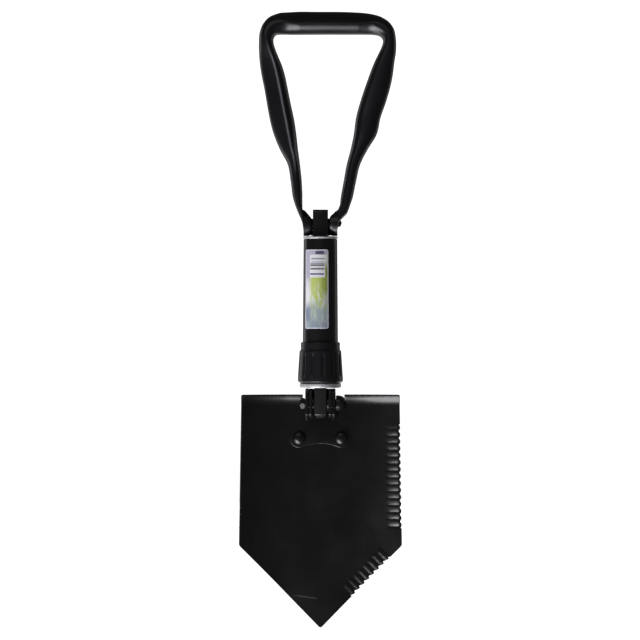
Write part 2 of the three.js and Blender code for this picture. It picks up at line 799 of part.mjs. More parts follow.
function sideRibs() {
  const long = 12;
  const ribs = [];
  for (let i = 0; i < SIDE_RIBS; i++) {
    const z = SIDE_RIB_TOP_Z - i * SIDE_RIB_PITCH;
    const edge = sideX(z) - 0.5;
    ribs.push(rib(new THREE.Vector2(edge - long, z), new THREE.Vector2(edge, z), 2.2, 1.5));
  }
  return ribs;
}

function slantRibs() {
  const long = 14.5;
  const ribs = [];
  for (let i = 0; i < SLANT_RIBS; i++) {
    const edge = sideCorner.clone()
      .addScaledVector(slantAlong, SLANT_RIB_START + i * SLANT_RIB_PITCH)
      .addScaledVector(slantOut, -0.4);
    const inner = edge.clone().addScaledVector(slantOut, -long);
    ribs.push(rib(inner, edge, 2.2, 1.5));
  }
  return ribs;
}

// The shoulder that a foot pushes on: the top edge, bent to the front.
const LIP_R = 6; // inner radius of the bend
const LIP_TURN = 45 * DEG;
const LIP_FLAT = 2.6; // straight run after the bend
const LIP_CENTRE_Z = BLADE_TOP_Z
  - (LIP_R + BLADE_THICK) * Math.sin(LIP_TURN) - LIP_FLAT * Math.cos(LIP_TURN);

function shoulder(side) {
  const steps = 4;
  const columns = 9;
  const skin = (radius) => {
    const points = [];
    for (let i = 0; i <= steps; i++) {
      const angle = (LIP_TURN * i) / steps;
      points.push(new THREE.Vector2(radius * Math.cos(angle) - LIP_R, radius * Math.sin(angle)));
    }
    const run = new THREE.Vector2(-Math.sin(LIP_TURN), Math.cos(LIP_TURN)).multiplyScalar(LIP_FLAT);
    return [...points, points[steps].clone().add(run)];
  };
  const contour = [...skin(LIP_R + BLADE_THICK), ...skin(LIP_R).reverse()];
  const from = (side < 0 ? NOTCH_LEFT : NOTCH_RIGHT) + 0.6;
  const to = BLADE_TOP_HALF - 0.8;
  const rings = [];
  for (let i = 0; i <= columns; i++) {
    const x = side * (from + ((to - from) * i) / columns);
    rings.push(contour.map((point) => new THREE.Vector3(x, bladeFront(x) + point.x, LIP_CENTRE_Z + point.y)));
  }
  return loft(rings, contour);
}

function blade() {
  const cutToShape = bladeSheet().intersect(plateXZ(bladeOutline(), -60, 60));
  const trims = [-1, 1].map((side) => {
    const [low, high] = [side * 15, side * 90].sort((a, b) => a - b);
    return block([low, -60, LIP_CENTRE_Z], [high, 60, BLADE_TOP_Z + 5]);
  });
  return joined(
    cutToShape.subtract(trims[0]).subtract(trims[1]),
    shoulder(-1),
    shoulder(1),
    ...sideRibs(),
    ...slantRibs(),
  ).subtract(rivetHole(-1)).subtract(rivetHole(1));
}

// ---------------------------------------------------------------- assembly

const blackPaint = { color: 0x191a1c, roughness: 0.38, metalness: 0.1 };
const nutPaint = { color: 0x1e1f22, roughness: 0.5, metalness: 0.05 };
const brightSteel = { color: 0xd5d7da, roughness: 0.25, metalness: 1 };
const plainSteel = { color: 0x6f7174, roughness: 0.4, metalness: 1 };
const label = { color: 0x8a93a6, roughness: 0.5, metalness: 0 };
const nylon = { color: 0xd9d6cc, roughness: 0.6, metalness: 0 };

const pieces = [
  ["shaft_tube", shaftTube(), blackPaint],
  ["mouth_collar", mouthCollar(), brightSteel],
  ["threaded_end", threadedEnd(), plainSteel],
  ["product_label", productLabel(), label],
  ["rod_guide", rodGuide(), nylon],
  ["lock_nut_grip", lockNutGrip(), nutPaint],
  ["lock_nut_insert", lockNutInsert(), plainSteel],
  ["thrust_washer", thrustWasher(), brightSteel],
  ["handle_block", handleBlock(), blackPaint],
  ["tie_rod", tieRod(), plainSteel],
  ["upper_roll_pin", rollPin(UPPER_PIN_Z), plainSteel],
  ["lower_roll_pin", rollPin(LOWER_PIN_Z), plainSteel],
  ["hinge_tongue", hingeTongue(), blackPaint],
  ["handle_loop", handleLoop(), blackPaint],
  ["handle_pin", handlePin(), blackPaint],
  ["handle_washer_left", handleWasher(-1), plainSteel],
  ["handle_washer_right", handleWasher(1), plainSteel],
  ["hinge_bracket", hingeBracket(), blackPaint],
  ["hinge_bolt", hingeBolt(), blackPaint],
  ["hinge_bolt_nut", hingeBoltNut(), blackPaint],
  ["hinge_spacer_left", hingeSpacer(-1), blackPaint],
  ["hinge_spacer_right", hingeSpacer(1), blackPaint],
  ["blade_rivet_left", bladeRivet(-1), blackPaint],
  ["blade_rivet_right", bladeRivet(1), blackPaint],
  ["blade", blade(), blackPaint],
];

const shovel = new THREE.Group();
for (const [name, solid, finish] of pieces) {
  const mesh = new THREE.Mesh(toGeometry(solid), new THREE.MeshStandardMaterial(finish));
  mesh.name = name;
  shovel.add(mesh);
}

export default shovel;
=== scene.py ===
"""Looks of a tri-fold camp shovel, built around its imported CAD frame.

+X is to the right, +Y to the back and +Z up. The origin is half way along the tube.
Shapes are worked out in millimetres, and made in metres.
"""

import json
import math

import bmesh
import bpy
import numpy as np
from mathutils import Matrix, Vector


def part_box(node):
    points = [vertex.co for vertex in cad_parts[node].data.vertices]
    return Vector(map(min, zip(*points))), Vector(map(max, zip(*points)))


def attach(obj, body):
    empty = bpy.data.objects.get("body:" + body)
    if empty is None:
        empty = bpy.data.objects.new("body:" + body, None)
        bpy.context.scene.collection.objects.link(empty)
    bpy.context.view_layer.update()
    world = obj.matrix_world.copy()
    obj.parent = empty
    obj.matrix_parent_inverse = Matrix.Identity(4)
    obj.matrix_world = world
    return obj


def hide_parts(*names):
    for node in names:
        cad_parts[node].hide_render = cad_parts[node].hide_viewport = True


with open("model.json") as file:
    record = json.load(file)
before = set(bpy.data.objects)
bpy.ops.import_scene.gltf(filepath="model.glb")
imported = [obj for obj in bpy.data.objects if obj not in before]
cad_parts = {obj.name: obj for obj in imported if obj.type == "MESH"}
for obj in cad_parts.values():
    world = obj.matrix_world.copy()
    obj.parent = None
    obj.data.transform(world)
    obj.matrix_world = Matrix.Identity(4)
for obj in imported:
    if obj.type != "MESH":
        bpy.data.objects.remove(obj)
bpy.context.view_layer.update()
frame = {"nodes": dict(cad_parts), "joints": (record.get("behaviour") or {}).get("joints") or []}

MM = 0.001

# ------------------------ places, from the frame


def span(node):
    """A CAD node's lowest and highest corners at rest, in millimetres."""
    low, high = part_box(node)
    return Vector(low) / MM, Vector(high) / MM


def pivot(joint):
    """A point on a hinge joint's axis, in millimetres."""
    row = next(row for row in frame["joints"] if row["name"] == joint)
    return Vector(row["pos_m"]) / MM


HANDLE_PIVOT = pivot("handle_fold")
BLADE_PIVOT = pivot("blade_fold")
TUBE_LOW, TUBE_HIGH = span("shaft_tube")
RIM_LOW, RIM_HIGH = span("mouth_collar")
NUT_LOW, NUT_HIGH = span("lock_nut_grip")
WASHER_LOW, WASHER_HIGH = span("thrust_washer")
BLOCK_LOW, BLOCK_HIGH = span("handle_block")
TONGUE_LOW, TONGUE_HIGH = span("hinge_tongue")
BRACKET_LOW, BRACKET_HIGH = span("hinge_bracket")
BLADE_LOW, BLADE_HIGH = span("blade")
LABEL_LOW, LABEL_HIGH = span("product_label")

# ------------------------ meshes


def reshape(mesh, change):
    work = bmesh.new()
    work.from_mesh(mesh)
    change(work)
    work.to_mesh(mesh)
    work.free()


def new_piece(name, points, faces, sharp=35, outward=True):
    """A mesh object from points in millimetres, smooth except at edges over the sharp angle."""
    mesh = bpy.data.meshes.new(name)
    mesh.from_pydata((np.asarray(points, float) * MM).tolist(), [], faces)
    if outward:
        reshape(mesh, lambda work: bmesh.ops.recalc_face_normals(work, faces=work.faces))
    piece = bpy.data.objects.new(name, mesh)
    bpy.context.scene.collection.objects.link(piece)
    shade(piece, sharp)
    return piece


def shade(piece, sharp=35):
    piece.data.shade_smooth()
    piece.data.set_sharp_from_angle(angle=math.radians(sharp))


def modify(piece, kind, **settings):
    modifier = piece.modifiers.new(kind.lower(), kind)
    for name, value in settings.items():
        setattr(modifier, name, value)
    return modifier


def settle(piece, sharp=35):
    """Makes the modifiers' result the piece's own mesh."""
    graph = bpy.context.evaluated_depsgraph_get()
    mesh = bpy.data.meshes.new_from_object(piece.evaluated_get(graph))
    piece.modifiers.clear()
    old = piece.data
    piece.data = mesh
    bpy.data.meshes.remove(old)
    mesh.name = piece.name
    shade(piece, sharp)
    return piece


def grid_faces(rows, columns, close_rows=False, close_columns=False):
    """Quads over a grid of points that are numbered row by row."""
    faces = []
    for i in range(rows if close_rows else rows - 1):
        for j in range(columns if close_columns else columns - 1):
            next_i, next_j = (i + 1) % rows, (j + 1) % columns
            faces.append((i * columns + j, i * columns + next_j,
                          next_i * columns + next_j, next_i * columns + j))
    return faces


def rounded(corners, closed=True, steps=5):
    """A polyline of (a, b, radius) corners, each drawn as an arc where its radius isn't 0."""
    points = []
    for i, (a, b, radius) in enumerate(corners):
        here = Vector((a, b))
        at_end = not closed and i in (0, len(corners) - 1)
        if radius == 0 or at_end:
            points.append((a, b))
            continue
        before = (Vector(corners[i - 1][:2]) - here).normalized()
        after = (Vector(corners[(i + 1) % len(corners)][:2]) - here).normalized()
        half = before.angle(after) / 2
        centre = here + (before + after).normalized() * radius / math.sin(half)
        spoke = here + before * radius / math.tan(half) - centre
        turn = math.copysign(math.pi - 2 * half, before.cross(after) * -1)
        for k in range(steps + 1):
            angle = turn * k / steps
            points.append((
                centre.x + spoke.x * math.cos(angle) - spoke.y * math.sin(angle),
                centre.y + spoke.x * math.sin(angle) + spoke.y * math.cos(angle),
            ))
    return points


AIMS = {
    "z": lambda u, v, height: (u, v, height),
    "x": lambda u, v, height: (height, u, v),
    "-y": lambda u, v, height: (u, -height, v),
}


def lathe(name, profile, aim="z", at=(0, 0, 0), sides=96, sharp=35):
    """A skin from (radius, height) points turned round an axis. A profile that doesn't start
    and end on the axis is closed on itself."""
    points, rings = [], []
    for radius, height in profile:
        count = sides if radius > 0 else 1
        ring = []
        for k in range(count):
            angle = 2 * math.pi * k / sides
            place = AIMS[aim](radius * math.cos(angle), radius * math.sin(angle), height)
            ring.append(len(points))
            points.append(Vector(place) + Vector(at))
        rings.append(ring)
    if profile[0][0] > 0:
        rings.append(rings[0])
    faces = []
    for lower, upper in zip(rings, rings[1:]):
        for k in range(sides):
            after = (k + 1) % sides
            if len(lower) == 1:
                faces.append((lower[0], upper[k], upper[after]))
            elif len(upper) == 1:
                faces.append((lower[k], upper[0], lower[after]))
            else:
                faces.append((lower[k], lower[after], upper[after], upper[k]))
    return new_piece(name, points, faces, sharp)


def slab(name, outline, plane, low, high, edge=0):
    """A plate: an outline in the "xz" or "yz" plane, from low to high across it, with eased edges."""
    places = {"xz": lambda a, b, c: (a, c, b), "yz": lambda a, b, c: (c, a, b)}
    count = len(outline)
    points = [places[plane](a, b, level) for level in (low, high) for a, b in outline]
    faces = [tuple(range(count)), tuple(range(2 * count - 1, count - 1, -1))]
    faces += [(k, (k + 1) % count, count + (k + 1) % count, count + k) for k in range(count)]
    piece = new_piece(name, points, faces)

    def ease(work):
        rims = [rim for rim in work.edges if any(len(face.verts) == count for face in rim.link_faces)]
        bmesh.ops.bevel(work, geom=rims, offset=edge * MM, segments=3, profile=0.5,
                        affect="EDGES", clamp_overlap=True)

    if edge:
        reshape(piece.data, ease)
        shade(piece)
    return piece


def dome(radius, start, end, steps):
    """A profile's last points, up a quarter of an ellipse from (radius, start) to (0, end)."""
    angles = [math.radians(90 * k / steps) for k in range(1, steps)]
    return [(radius * math.cos(a), start + (end - start) * math.sin(a)) for a in angles] + [(0, end)]


def disc(a, b, radius, sides=64):
    angles = [2 * math.pi * k / sides for k in range(sides)]
    return [(a + radius * math.cos(angle), b + radius * math.sin(angle)) for angle in angles]


def fused(name, parts, voxel=0.0, passes=0):
    """Overlapping solids as one piece, and as one skin with eased corners if a voxel size is given."""
    points, faces = [], []
    for part in parts:
        start = len(points)
        points += [vertex.co / MM for vertex in part.data.vertices]
        faces += [tuple(start + k for k in face.vertices) for face in part.data.polygons]
        bpy.data.objects.remove(part)
    piece = new_piece(name, points, faces, outward=False)
    if not voxel:
        return piece
    modify(piece, "REMESH", mode="VOXEL", voxel_size=voxel * MM, use_smooth_shade=True)
    modify(piece, "SMOOTH", factor=0.5, iterations=passes)
    return settle(piece, sharp=80)


def dress(piece, material):
    piece.data.materials.clear()
    piece.data.materials.append(material)


def place(piece, material, body, slot, *nodes):
    """Gives a piece its material and its body, and hides the CAD nodes that it stands for. slot is not used."""
    dress(piece, material)
    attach(piece, body)
    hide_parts(*nodes)
    return piece


def smooth_step(value, low, high):
    share = np.clip((np.asarray(value, float) - low) / (high - low), 0, 1)
    return share * share * (3 - 2 * share)


# ------------------------ materials


# Places of the colour sockets on the Mix node.
FACTOR, COLOUR_A, COLOUR_B, COLOUR_OUT = 0, 6, 7, 2
RIDGE_HIGHLIGHT_MARK = "ridge"  # the handle's point attribute that marks where a highlight is painted along the left arm's ridge


class Material:
    """A node material that is built call by call. A value that is a socket gets linked."""

    def __init__(self, name, **shader):
        self.made = bpy.data.materials.new(name)
        self.made.use_nodes = True
        self.tree = self.made.node_tree
        self.shader = self.tree.nodes["Principled BSDF"]
        self.set(self.shader, shader)

    def set(self, node, values):
        for name, value in values.items():
            key = name.replace("_", " ").title().replace("Ior", "IOR") if isinstance(name, str) else name
            if isinstance(value, bpy.types.NodeSocket):
                self.tree.links.new(value, node.inputs[key])
            else:
                node.inputs[key].default_value = value

    def add(self, kind, values=None, **settings):
        node = self.tree.nodes.new("ShaderNode" + kind)
        for name, value in settings.items():
            setattr(node, name, value)
        self.set(node, values or {})
        return node

    def object_space(self, scale=(1, 1, 1)):
        """Coordinates in metres that ride with the piece, stretched by scale."""
        base = self.add("TexCoord").outputs["Object"]
        return self.add("Mapping", {"vector": base, "scale": scale}).outputs["Vector"]

    def noise(self, scale, detail=2.0, stretch=(1, 1, 1), roughness=0.5):
        vector = self.object_space(stretch)
        values = {"vector": vector, "scale": scale, "detail": detail, "roughness": roughness}
        return self.add("TexNoise", values).outputs["Fac"]

    def ramp(self, value, low, high, to_low=0.0, to_high=1.0, kind="LINEAR"):
        """value mapped from low..high to to_low..to_high, and held there outside it."""
        values = {"value": value, "from_min": low, "from_max": high, "to_min": to_low, "to_max": to_high}
        return self.add("MapRange", values, interpolation_type=kind).outputs["Result"]

    def math(self, operation, a, b=0.0):
        return self.add("Math", {0: a, 1: b}, operation=operation).outputs[0]

    def times(self, a, b):
        return self.math("MULTIPLY", a, b)

    def mix(self, factor, a, b):
        """Colour a where factor is 0, and colour b where it is 1."""
        values = {FACTOR: factor, COLOUR_A: a, COLOUR_B: b}
        return self.add("Mix", values, data_type="RGBA").outputs[COLOUR_OUT]

    def bump(self, height, depth):
        """Relief from a 0..1 height that is depth millimetres tall."""
        return self.add("Bump", {"height": height, "distance": depth * MM, "strength": 1.0}).outputs["Normal"]

    def done(self, colour, roughness, relief):
        self.set(self.shader, {"base_color": colour, "roughness": roughness, "normal": relief})
        return self.made


def grey(value, tint=(1, 1, 1)):
    return (value * tint[0], value * tint[1], value * tint[2], 1)


def painted_ridge_highlight(made, coat, tone):
    """The coat, with a paler tone painted where the mesh marks a ridge, as a painted highlight."""
    marked = made.add("Attribute", attribute_name=RIDGE_HIGHLIGHT_MARK).outputs["Fac"]
    uneven = made.ramp(made.noise(60, detail=3.0), 0.3, 0.7, 0.75, 1.0)
    return made.mix(made.times(marked, uneven), coat, (*tone, 1))


def with_pale_line(made, coat, start, end):
    """The coat with one thin pale line on its front, from start to end, each an (x, z) in millimetres."""
    (x0, z0), (x1, z1) = start, end
    x, _, z = made.add("SeparateXYZ", {"vector": made.object_space()}).outputs
    line = made.ramp(x, x0 * MM, x1 * MM, z0 * MM, z1 * MM)
    away = made.math("ABSOLUTE", made.math("SUBTRACT", z, line))
    streak = made.times(made.ramp(away, 0.2 * MM, 0.8 * MM, 1, 0, "SMOOTHSTEP"),
                        made.ramp(x, x0 * MM, (x0 + 9) * MM))
    streak = made.times(streak, made.ramp(x, (x1 - 2) * MM, x1 * MM, 1, 0))
    facing = made.add("SeparateXYZ", {"vector": made.add("TexCoord").outputs["Normal"]}).outputs[1]
    return made.mix(made.times(streak, made.ramp(facing, -0.3, 0.3, 1, 0)), coat, grey(0.045))


def paint(name, colour, gloss, peel_mm, peel_depth, scratches=0.35, ridge=None, pale_line=None):
    """Black paint on steel: an uneven coat with an orange peel, broad changes of gloss and rub marks."""
    made = Material(name, metallic=0.0, specular_ior_level=0.5)
    peel = made.noise(1 / (peel_mm * MM), detail=1.5)
    fine = made.noise(5 / (peel_mm * MM), detail=2.0)
    height = made.math("ADD", made.times(peel, 0.8), made.times(fine, 0.2))
    rubs = made.noise(420, detail=3.0, stretch=(1, 1, 0.035), roughness=0.7)
    rub = made.times(made.ramp(rubs, 0.66, 0.74, 0.0, scratches, "SMOOTHSTEP"),
                     made.ramp(made.noise(14, detail=2.0), 0.45, 0.62))
    even = made.ramp(made.noise(28, detail=3.0), 0.3, 0.7, gloss - 0.05, gloss + 0.05)
    rough = made.math("ADD", even, made.times(rub, 0.25))
    pale = [level * 2.2 + 0.004 for level in colour]
    coat = made.mix(rub, (*colour, 1), (*pale, 1))
    # ridge is the paler tone of a highlight painted along a marked ridge
    if ridge is not None:
        coat = painted_ridge_highlight(made, coat, ridge)
    if pale_line is not None:
        coat = with_pale_line(made, coat, *pale_line)
    return made.done(coat, rough, made.bump(height, peel_depth))


def steel(name, level, rough, marks):
    """Bare turned steel: fine rings round the tool's own axis, and faint stains."""
    made = Material(name, metallic=1.0)
    x, y, z = made.add("SeparateXYZ", {"vector": made.add("TexCoord").outputs["Object"]}).outputs
    flat = made.add("CombineXYZ", {"x": x, "y": y}).outputs[0]
    across = made.add("VectorMath", {0: flat}, operation="LENGTH").outputs["Value"]
    turned = made.add("CombineXYZ", {"x": across, "z": z}).outputs[0]
    rings = made.add("TexNoise", {"vector": turned, "scale": 4200.0, "detail": 2.0}).outputs["Fac"]
    stains = made.noise(180, detail=4.0)
    clean, stained = grey(level, (1, 0.995, 1.02)), grey(level * 0.72, (1, 0.985, 0.97))
    colour = made.mix(made.ramp(stains, 0.35, 0.75), clean, stained)
    uneven = made.ramp(stains, 0.3, 0.7, rough - 0.05, rough + 0.08)
    return made.done(colour, uneven, made.bump(rings, marks))


def nylon_plastic():
    made = Material("natural_nylon", subsurface_weight=0.15)
    colour = made.mix(made.noise(160, detail=3.0), grey(0.70, (1, 0.97, 0.88)), grey(0.58, (1, 0.95, 0.84)))
    return made.done(colour, made.ramp(made.noise(900), 0.3, 0.7, 0.45, 0.6), made.bump(made.noise(1500), 0.02))


def label_print():
    """A printed film: a pale border, a dark corner and bars above, and a green leafy fade below."""
    made = Material("label_print", specular_ior_level=0.5)
    print_space = made.add("TexCoord").outputs["UV"]
    across, up, _ = made.add("SeparateXYZ", {"vector": print_space}).outputs

    def inside(value, low, high, soft=0.004):
        rise = made.ramp(value, low - soft, low + soft, 0, 1, "SMOOTHSTEP")
        fall = made.ramp(value, high - soft, high + soft, 1, 0, "SMOOTHSTEP")
        return made.times(rise, fall)

    def cloud(scale, stretch):
        stretched = made.add("Mapping", {"vector": print_space, "scale": (*stretch, 1)}).outputs[0]
        values = {"vector": stretched, "scale": scale, "detail": 3.0, "distortion": 0.8}
        return made.add("TexNoise", values).outputs["Fac"]

    border_tone = (0.74, 0.73, 0.80, 1)
    white = (0.88, 0.88, 0.90, 1)
    lavender = (0.52, 0.50, 0.62, 1)
    slate = (0.10, 0.10, 0.17, 1)
    grey_bar = (0.36, 0.38, 0.42, 1)
    dark_bar = (0.17, 0.17, 0.20, 1)
    navy = (0.06, 0.07, 0.20, 1)
    leaf = (0.55, 0.66, 0.17, 1)
    olive = (0.27, 0.34, 0.06, 1)
    mist = (0.78, 0.83, 0.74, 1)
    dusk = (0.36, 0.43, 0.47, 1)
    dim = (0.24, 0.28, 0.40, 1)

    streak = made.ramp(cloud(3.0, (2.6, 2.2)), 0.42, 0.62)
    grass = made.ramp(cloud(5.0, (3.0, 1.6)), 0.40, 0.60)
    green = made.mix(made.times(streak, made.ramp(up, 0.62, 0.45)), leaf, mist)
    right_side = made.times(made.ramp(across, 0.60, 0.86), made.ramp(up, 0.26, 0.46))
    green = made.mix(made.times(right_side, made.ramp(grass, 0, 1, 0.45, 1.0)), green, olive)
    green = made.mix(made.times(made.ramp(up, 0.40, 0.24), made.ramp(grass, 0, 1, 0.5, 1.0)),
                     green, dusk)
    green = made.mix(made.times(made.ramp(up, 0.16, 0.06), 0.6), green, dim)

    left_side = made.mix(made.ramp(up, 0.70, 0.52), lavender, white)
    left_side = made.mix(made.ramp(up, 0.36, 0.24), left_side, dim)
    left_side = made.mix(made.ramp(up, 0.13, 0.08), left_side, dusk)
    colour = made.mix(made.ramp(across, 0.36, 0.16), green, left_side)

    top = made.mix(made.ramp(across, 0.84, 0.88), white, mist)
    top = made.mix(made.times(made.ramp(across, 0.85, 0.88), made.ramp(up, 0.86, 0.76)), top, olive)
    top = made.mix(made.ramp(up, 0.930, 0.940), top, lavender)
    top = made.mix(made.ramp(across, 0.25, 0.23), top, lavender)
    colour = made.mix(made.ramp(up, 0.640, 0.655), colour, top)
    for left, right, low, high, tone in (
        (0.48, 0.82, 0.940, 0.982, slate),
        (0.30, 0.84, 0.874, 0.894, grey_bar),
        (0.30, 0.80, 0.838, 0.852, lavender),
        (0.26, 0.84, 0.806, 0.832, grey_bar),
        (0.26, 0.84, 0.790, 0.806, dark_bar),
        (0.26, 0.84, 0.746, 0.768, dark_bar),
        (0.25, 0.82, 0.682, 0.700, navy),
    ):
        bar = made.times(inside(across, left, right, 0.012), inside(up, low, high))
        colour = made.mix(bar, colour, tone)
    border = made.times(inside(across, 0.045, 0.955, 0.012), inside(up, 0.013, 0.987))
    colour = made.mix(border, border_tone, colour)
    return made.done(colour, made.ramp(made.noise(300), 0.3, 0.7, 0.26, 0.38), made.bump(made.noise(240), 0.03))


black_paint = paint("black_paint", (0.0062, 0.0062, 0.0066), 0.28, 1.6, 0.012)
# A paler copy of the black paint: the tongue's lighter grey front is painted light.
lit_tongue_paint = paint("lit_tongue_paint", (0.0150, 0.0150, 0.0155), 0.30, 1.6, 0.010)
# The handle's ridge tone is a highlight painted along the left arm's crease.
handle_paint = paint("handle_paint", (0.0042, 0.0042, 0.0052), 0.325, 1.6, 0.012, ridge=(0.21, 0.21, 0.23))
# A thin pale line is painted across the blade's front near its tip.
blade_paint = paint("blade_paint", (0.0035, 0.0035, 0.0036), 0.29, 2.2, 0.016, scratches=0.5,
                    pale_line=((-28, -289.5), (-3, -293)))
nut_paint = paint("nut_paint", (0.0070, 0.0070, 0.0078), 0.33, 1.2, 0.010)
bright_steel = steel("bright_steel", 0.82, 0.60, 0.006)
plain_steel = steel("plain_steel", 0.42, 0.38, 0.012)
# A near-black copy of the plain steel: painted shade for the handle washers in the gaps by the feet.
steel_painted_shade = steel("steel_painted_shade", 0.03, 0.42, 0.012)
label_film = label_print()
nylon = nylon_plastic()

# ------------------------ shaft

TUBE_TOP_R = 15.9
TUBE_END_R = TUBE_HIGH.x
TUBE_BORE_R = 14.9
RIM_BORE_R = 13.6
RIM_LIP = 2.0


def tube_radius(z):
    return TUBE_TOP_R + (TUBE_END_R - TUBE_TOP_R) * (RIM_HIGH.z - z) / (RIM_HIGH.z - TUBE_LOW.z)


def shaft_tube():
    top, end = TUBE_HIGH.z, TUBE_LOW.z
    profile = rounded([
        (TUBE_BORE_R, end, 0.2),
        (tube_radius(end), end, 0.4),
        (tube_radius(top), top, 0.8),
        (TUBE_BORE_R, top, 0.15),
    ])
    piece = lathe("shaft_tube_skin", profile, sides=128)
    return place(piece, black_paint, "shaft", "black_paint", "shaft_tube")


def mouth_collar():
    skirt = TUBE_BORE_R - 0.3
    under = RIM_HIGH.z - RIM_LIP
    profile = rounded([
        (RIM_BORE_R, RIM_LOW.z, 0.2),
        (skirt, RIM_LOW.z, 0.2),
        (skirt, under, 0.1),
        (RIM_HIGH.x, under, 0.5),
        (RIM_HIGH.x, RIM_HIGH.z, 0.8),
        (RIM_BORE_R, RIM_HIGH.z, 0.5),
    ])
    piece = lathe("mouth_collar_ring", profile, sides=128)
    return place(piece, bright_steel, "shaft", "bright_steel", "mouth_collar")


def product_label():
    """A thin film with rounded corners, wrapped round the tube's front a little left of its middle."""
    corner, columns, rows = 1.6, 48, 120
    left, right = math.radians(-147), math.radians(-63)
    wide = (right - left) * tube_radius(0)
    points, uvs = [], []
    for lift in (0.35, 0.1):
        for i in range(rows + 1):
            v = i / rows
            z = LABEL_LOW.z + (LABEL_HIGH.z - LABEL_LOW.z) * v
            near = min(z - LABEL_LOW.z, LABEL_HIGH.z - z)
            inset = corner - math.sqrt(max(0.0, corner ** 2 - max(0.0, corner - near) ** 2))
            for j in range(columns + 1):
                u = (inset + (wide - 2 * inset) * j / columns) / wide
                angle = left + (right - left) * u
                radius = tube_radius(z) + lift
                points.append((radius * math.cos(angle), radius * math.sin(angle), z))
                uvs.append((u, v))
    sheet = grid_faces(rows + 1, columns + 1)
    count = (rows + 1) * (columns + 1)
    faces = sheet + [tuple(count + k for k in reversed(face)) for face in sheet]
    border = list(range(columns + 1))
    border += [i * (columns + 1) + columns for i in range(1, rows + 1)]
    border += [rows * (columns + 1) + j for j in range(columns - 1, -1, -1)]
    border += [i * (columns + 1) for i in range(rows - 1, 0, -1)]
    faces += [(here, after, count + after, count + here)
              for here, after in zip(border, border[1:] + border[:1])]
    piece = new_piece("product_label_film", points, faces)
    layer = piece.data.uv_layers.new(name="print")
    for loop in piece.data.loops:
        layer.data[loop.index].uv = uvs[loop.vertex_index]
    return place(piece, label_film, "shaft", "label_print", "product_label")


# ------------------------ lock nut

FLUTES = 13
FLUTE_DEPTH = 0.95
FLUTE_SAMPLES = 26


def lock_nut():
    """The grip: a plain collar over a taper with narrow flutes, a plain band and a chamfer."""
    top, end = NUT_HIGH.z, NUT_LOW.z
    collar_r, shoulder_r, foot_r = 18.45, 19.75, NUT_HIGH.x
    seat_z = -62
    outside = rounded([
        (18.0, end, 0),
        (19.3, end, 0.3),
        (foot_r, end + 1.7, 0.5),
        (foot_r, end + 5, 3),
        (shoulder_r, top - 8.7, 0.7),
        (collar_r, top - 7.1, 0.6),
        (collar_r, top, 1.1),
        (17.3, top, 0.3),
        (17.3, seat_z, 0.2),
        (18.0, seat_z - 0.8, 0.2),
    ], steps=6)
    profile = []
    for (r0, z0), (r1, z1) in zip(outside, outside[1:] + outside[:1]):
        steps = max(1, round(abs(z1 - z0) / 0.7)) if min(r0, r1) > collar_r else 1
        profile += [(r0 + (r1 - r0) * k / steps, z0 + (z1 - z0) * k / steps) for k in range(steps)]
    sides = FLUTES * FLUTE_SAMPLES
    groove_top, groove_end = top - 8.9, end + 5.4
    points = []
    for k in range(sides):
        angle = 2 * math.pi * k / sides
        wave = math.cos(angle * FLUTES)
        for radius, z in profile:
            run = smooth_step(z, groove_end, groove_end + 3.0)
            run *= 1 - smooth_step(z, groove_top - 5.5, groove_top)
            cut = smooth_step(wave, 0.42, 1.0) if radius > collar_r + 0.2 else 0
            depth = FLUTE_DEPTH * float(cut) * float(run)
            points.append(((radius - depth) * math.cos(angle), (radius - depth) * math.sin(angle), z))
    piece = new_piece("lock_nut_fluted", points, grid_faces(sides, len(profile), True, True), sharp=50)
    return place(piece, nut_paint, "lock_nut", "nut_paint", "lock_nut_grip")


def thrust_ring():
    radius, bore, low = WASHER_HIGH.x, 14.0, WASHER_LOW.z + 0.2
    profile = rounded([(bore, low, 0.4), (radius, low, 1.3),
                       (radius, WASHER_HIGH.z, 0.9), (bore, WASHER_HIGH.z, 0.3)])
    piece = lathe("thrust_ring", profile, sides=128)
    return place(piece, bright_steel, "core", "bright_steel", "thrust_washer")


# ------------------------ core

BLOCK_HALF = 7.15


def handle_block():
    outline = rounded([
        (BLOCK_LOW.y, BLOCK_LOW.z, 1),
        (BLOCK_HIGH.y, BLOCK_LOW.z, 1),
        (BLOCK_HIGH.y, BLOCK_HIGH.z, 2.4),
        (BLOCK_LOW.y, BLOCK_HIGH.z, 2.4),
    ])
    piece = slab("handle_block_body", outline, "yz", -BLOCK_HALF, BLOCK_HALF, edge=0.4)
    return place(piece, black_paint, "core", "black_paint", "handle_block")


EYE_R = 14.0
EYE_FLAT = 9.0


def eye(radius, ease=1.6, sides=72):
    """An eye round the hinge bolt, seen from the side: round, with a flat front and eased corners."""
    reach = math.pi - math.acos(EYE_FLAT / EYE_R)
    points = [(BLADE_PIVOT.y + radius * math.cos(a), BLADE_PIVOT.z + radius * math.sin(a))
              for a in np.linspace(-reach, reach, sides)]
    trim = 7
    start, end = points[0], points[-1]
    corners = [(*points[-1 - trim], 0), (*end, ease), (*start, ease), (*points[trim], 0)]
    return points[trim + 1:-1 - trim] + rounded(corners, closed=False, steps=6)


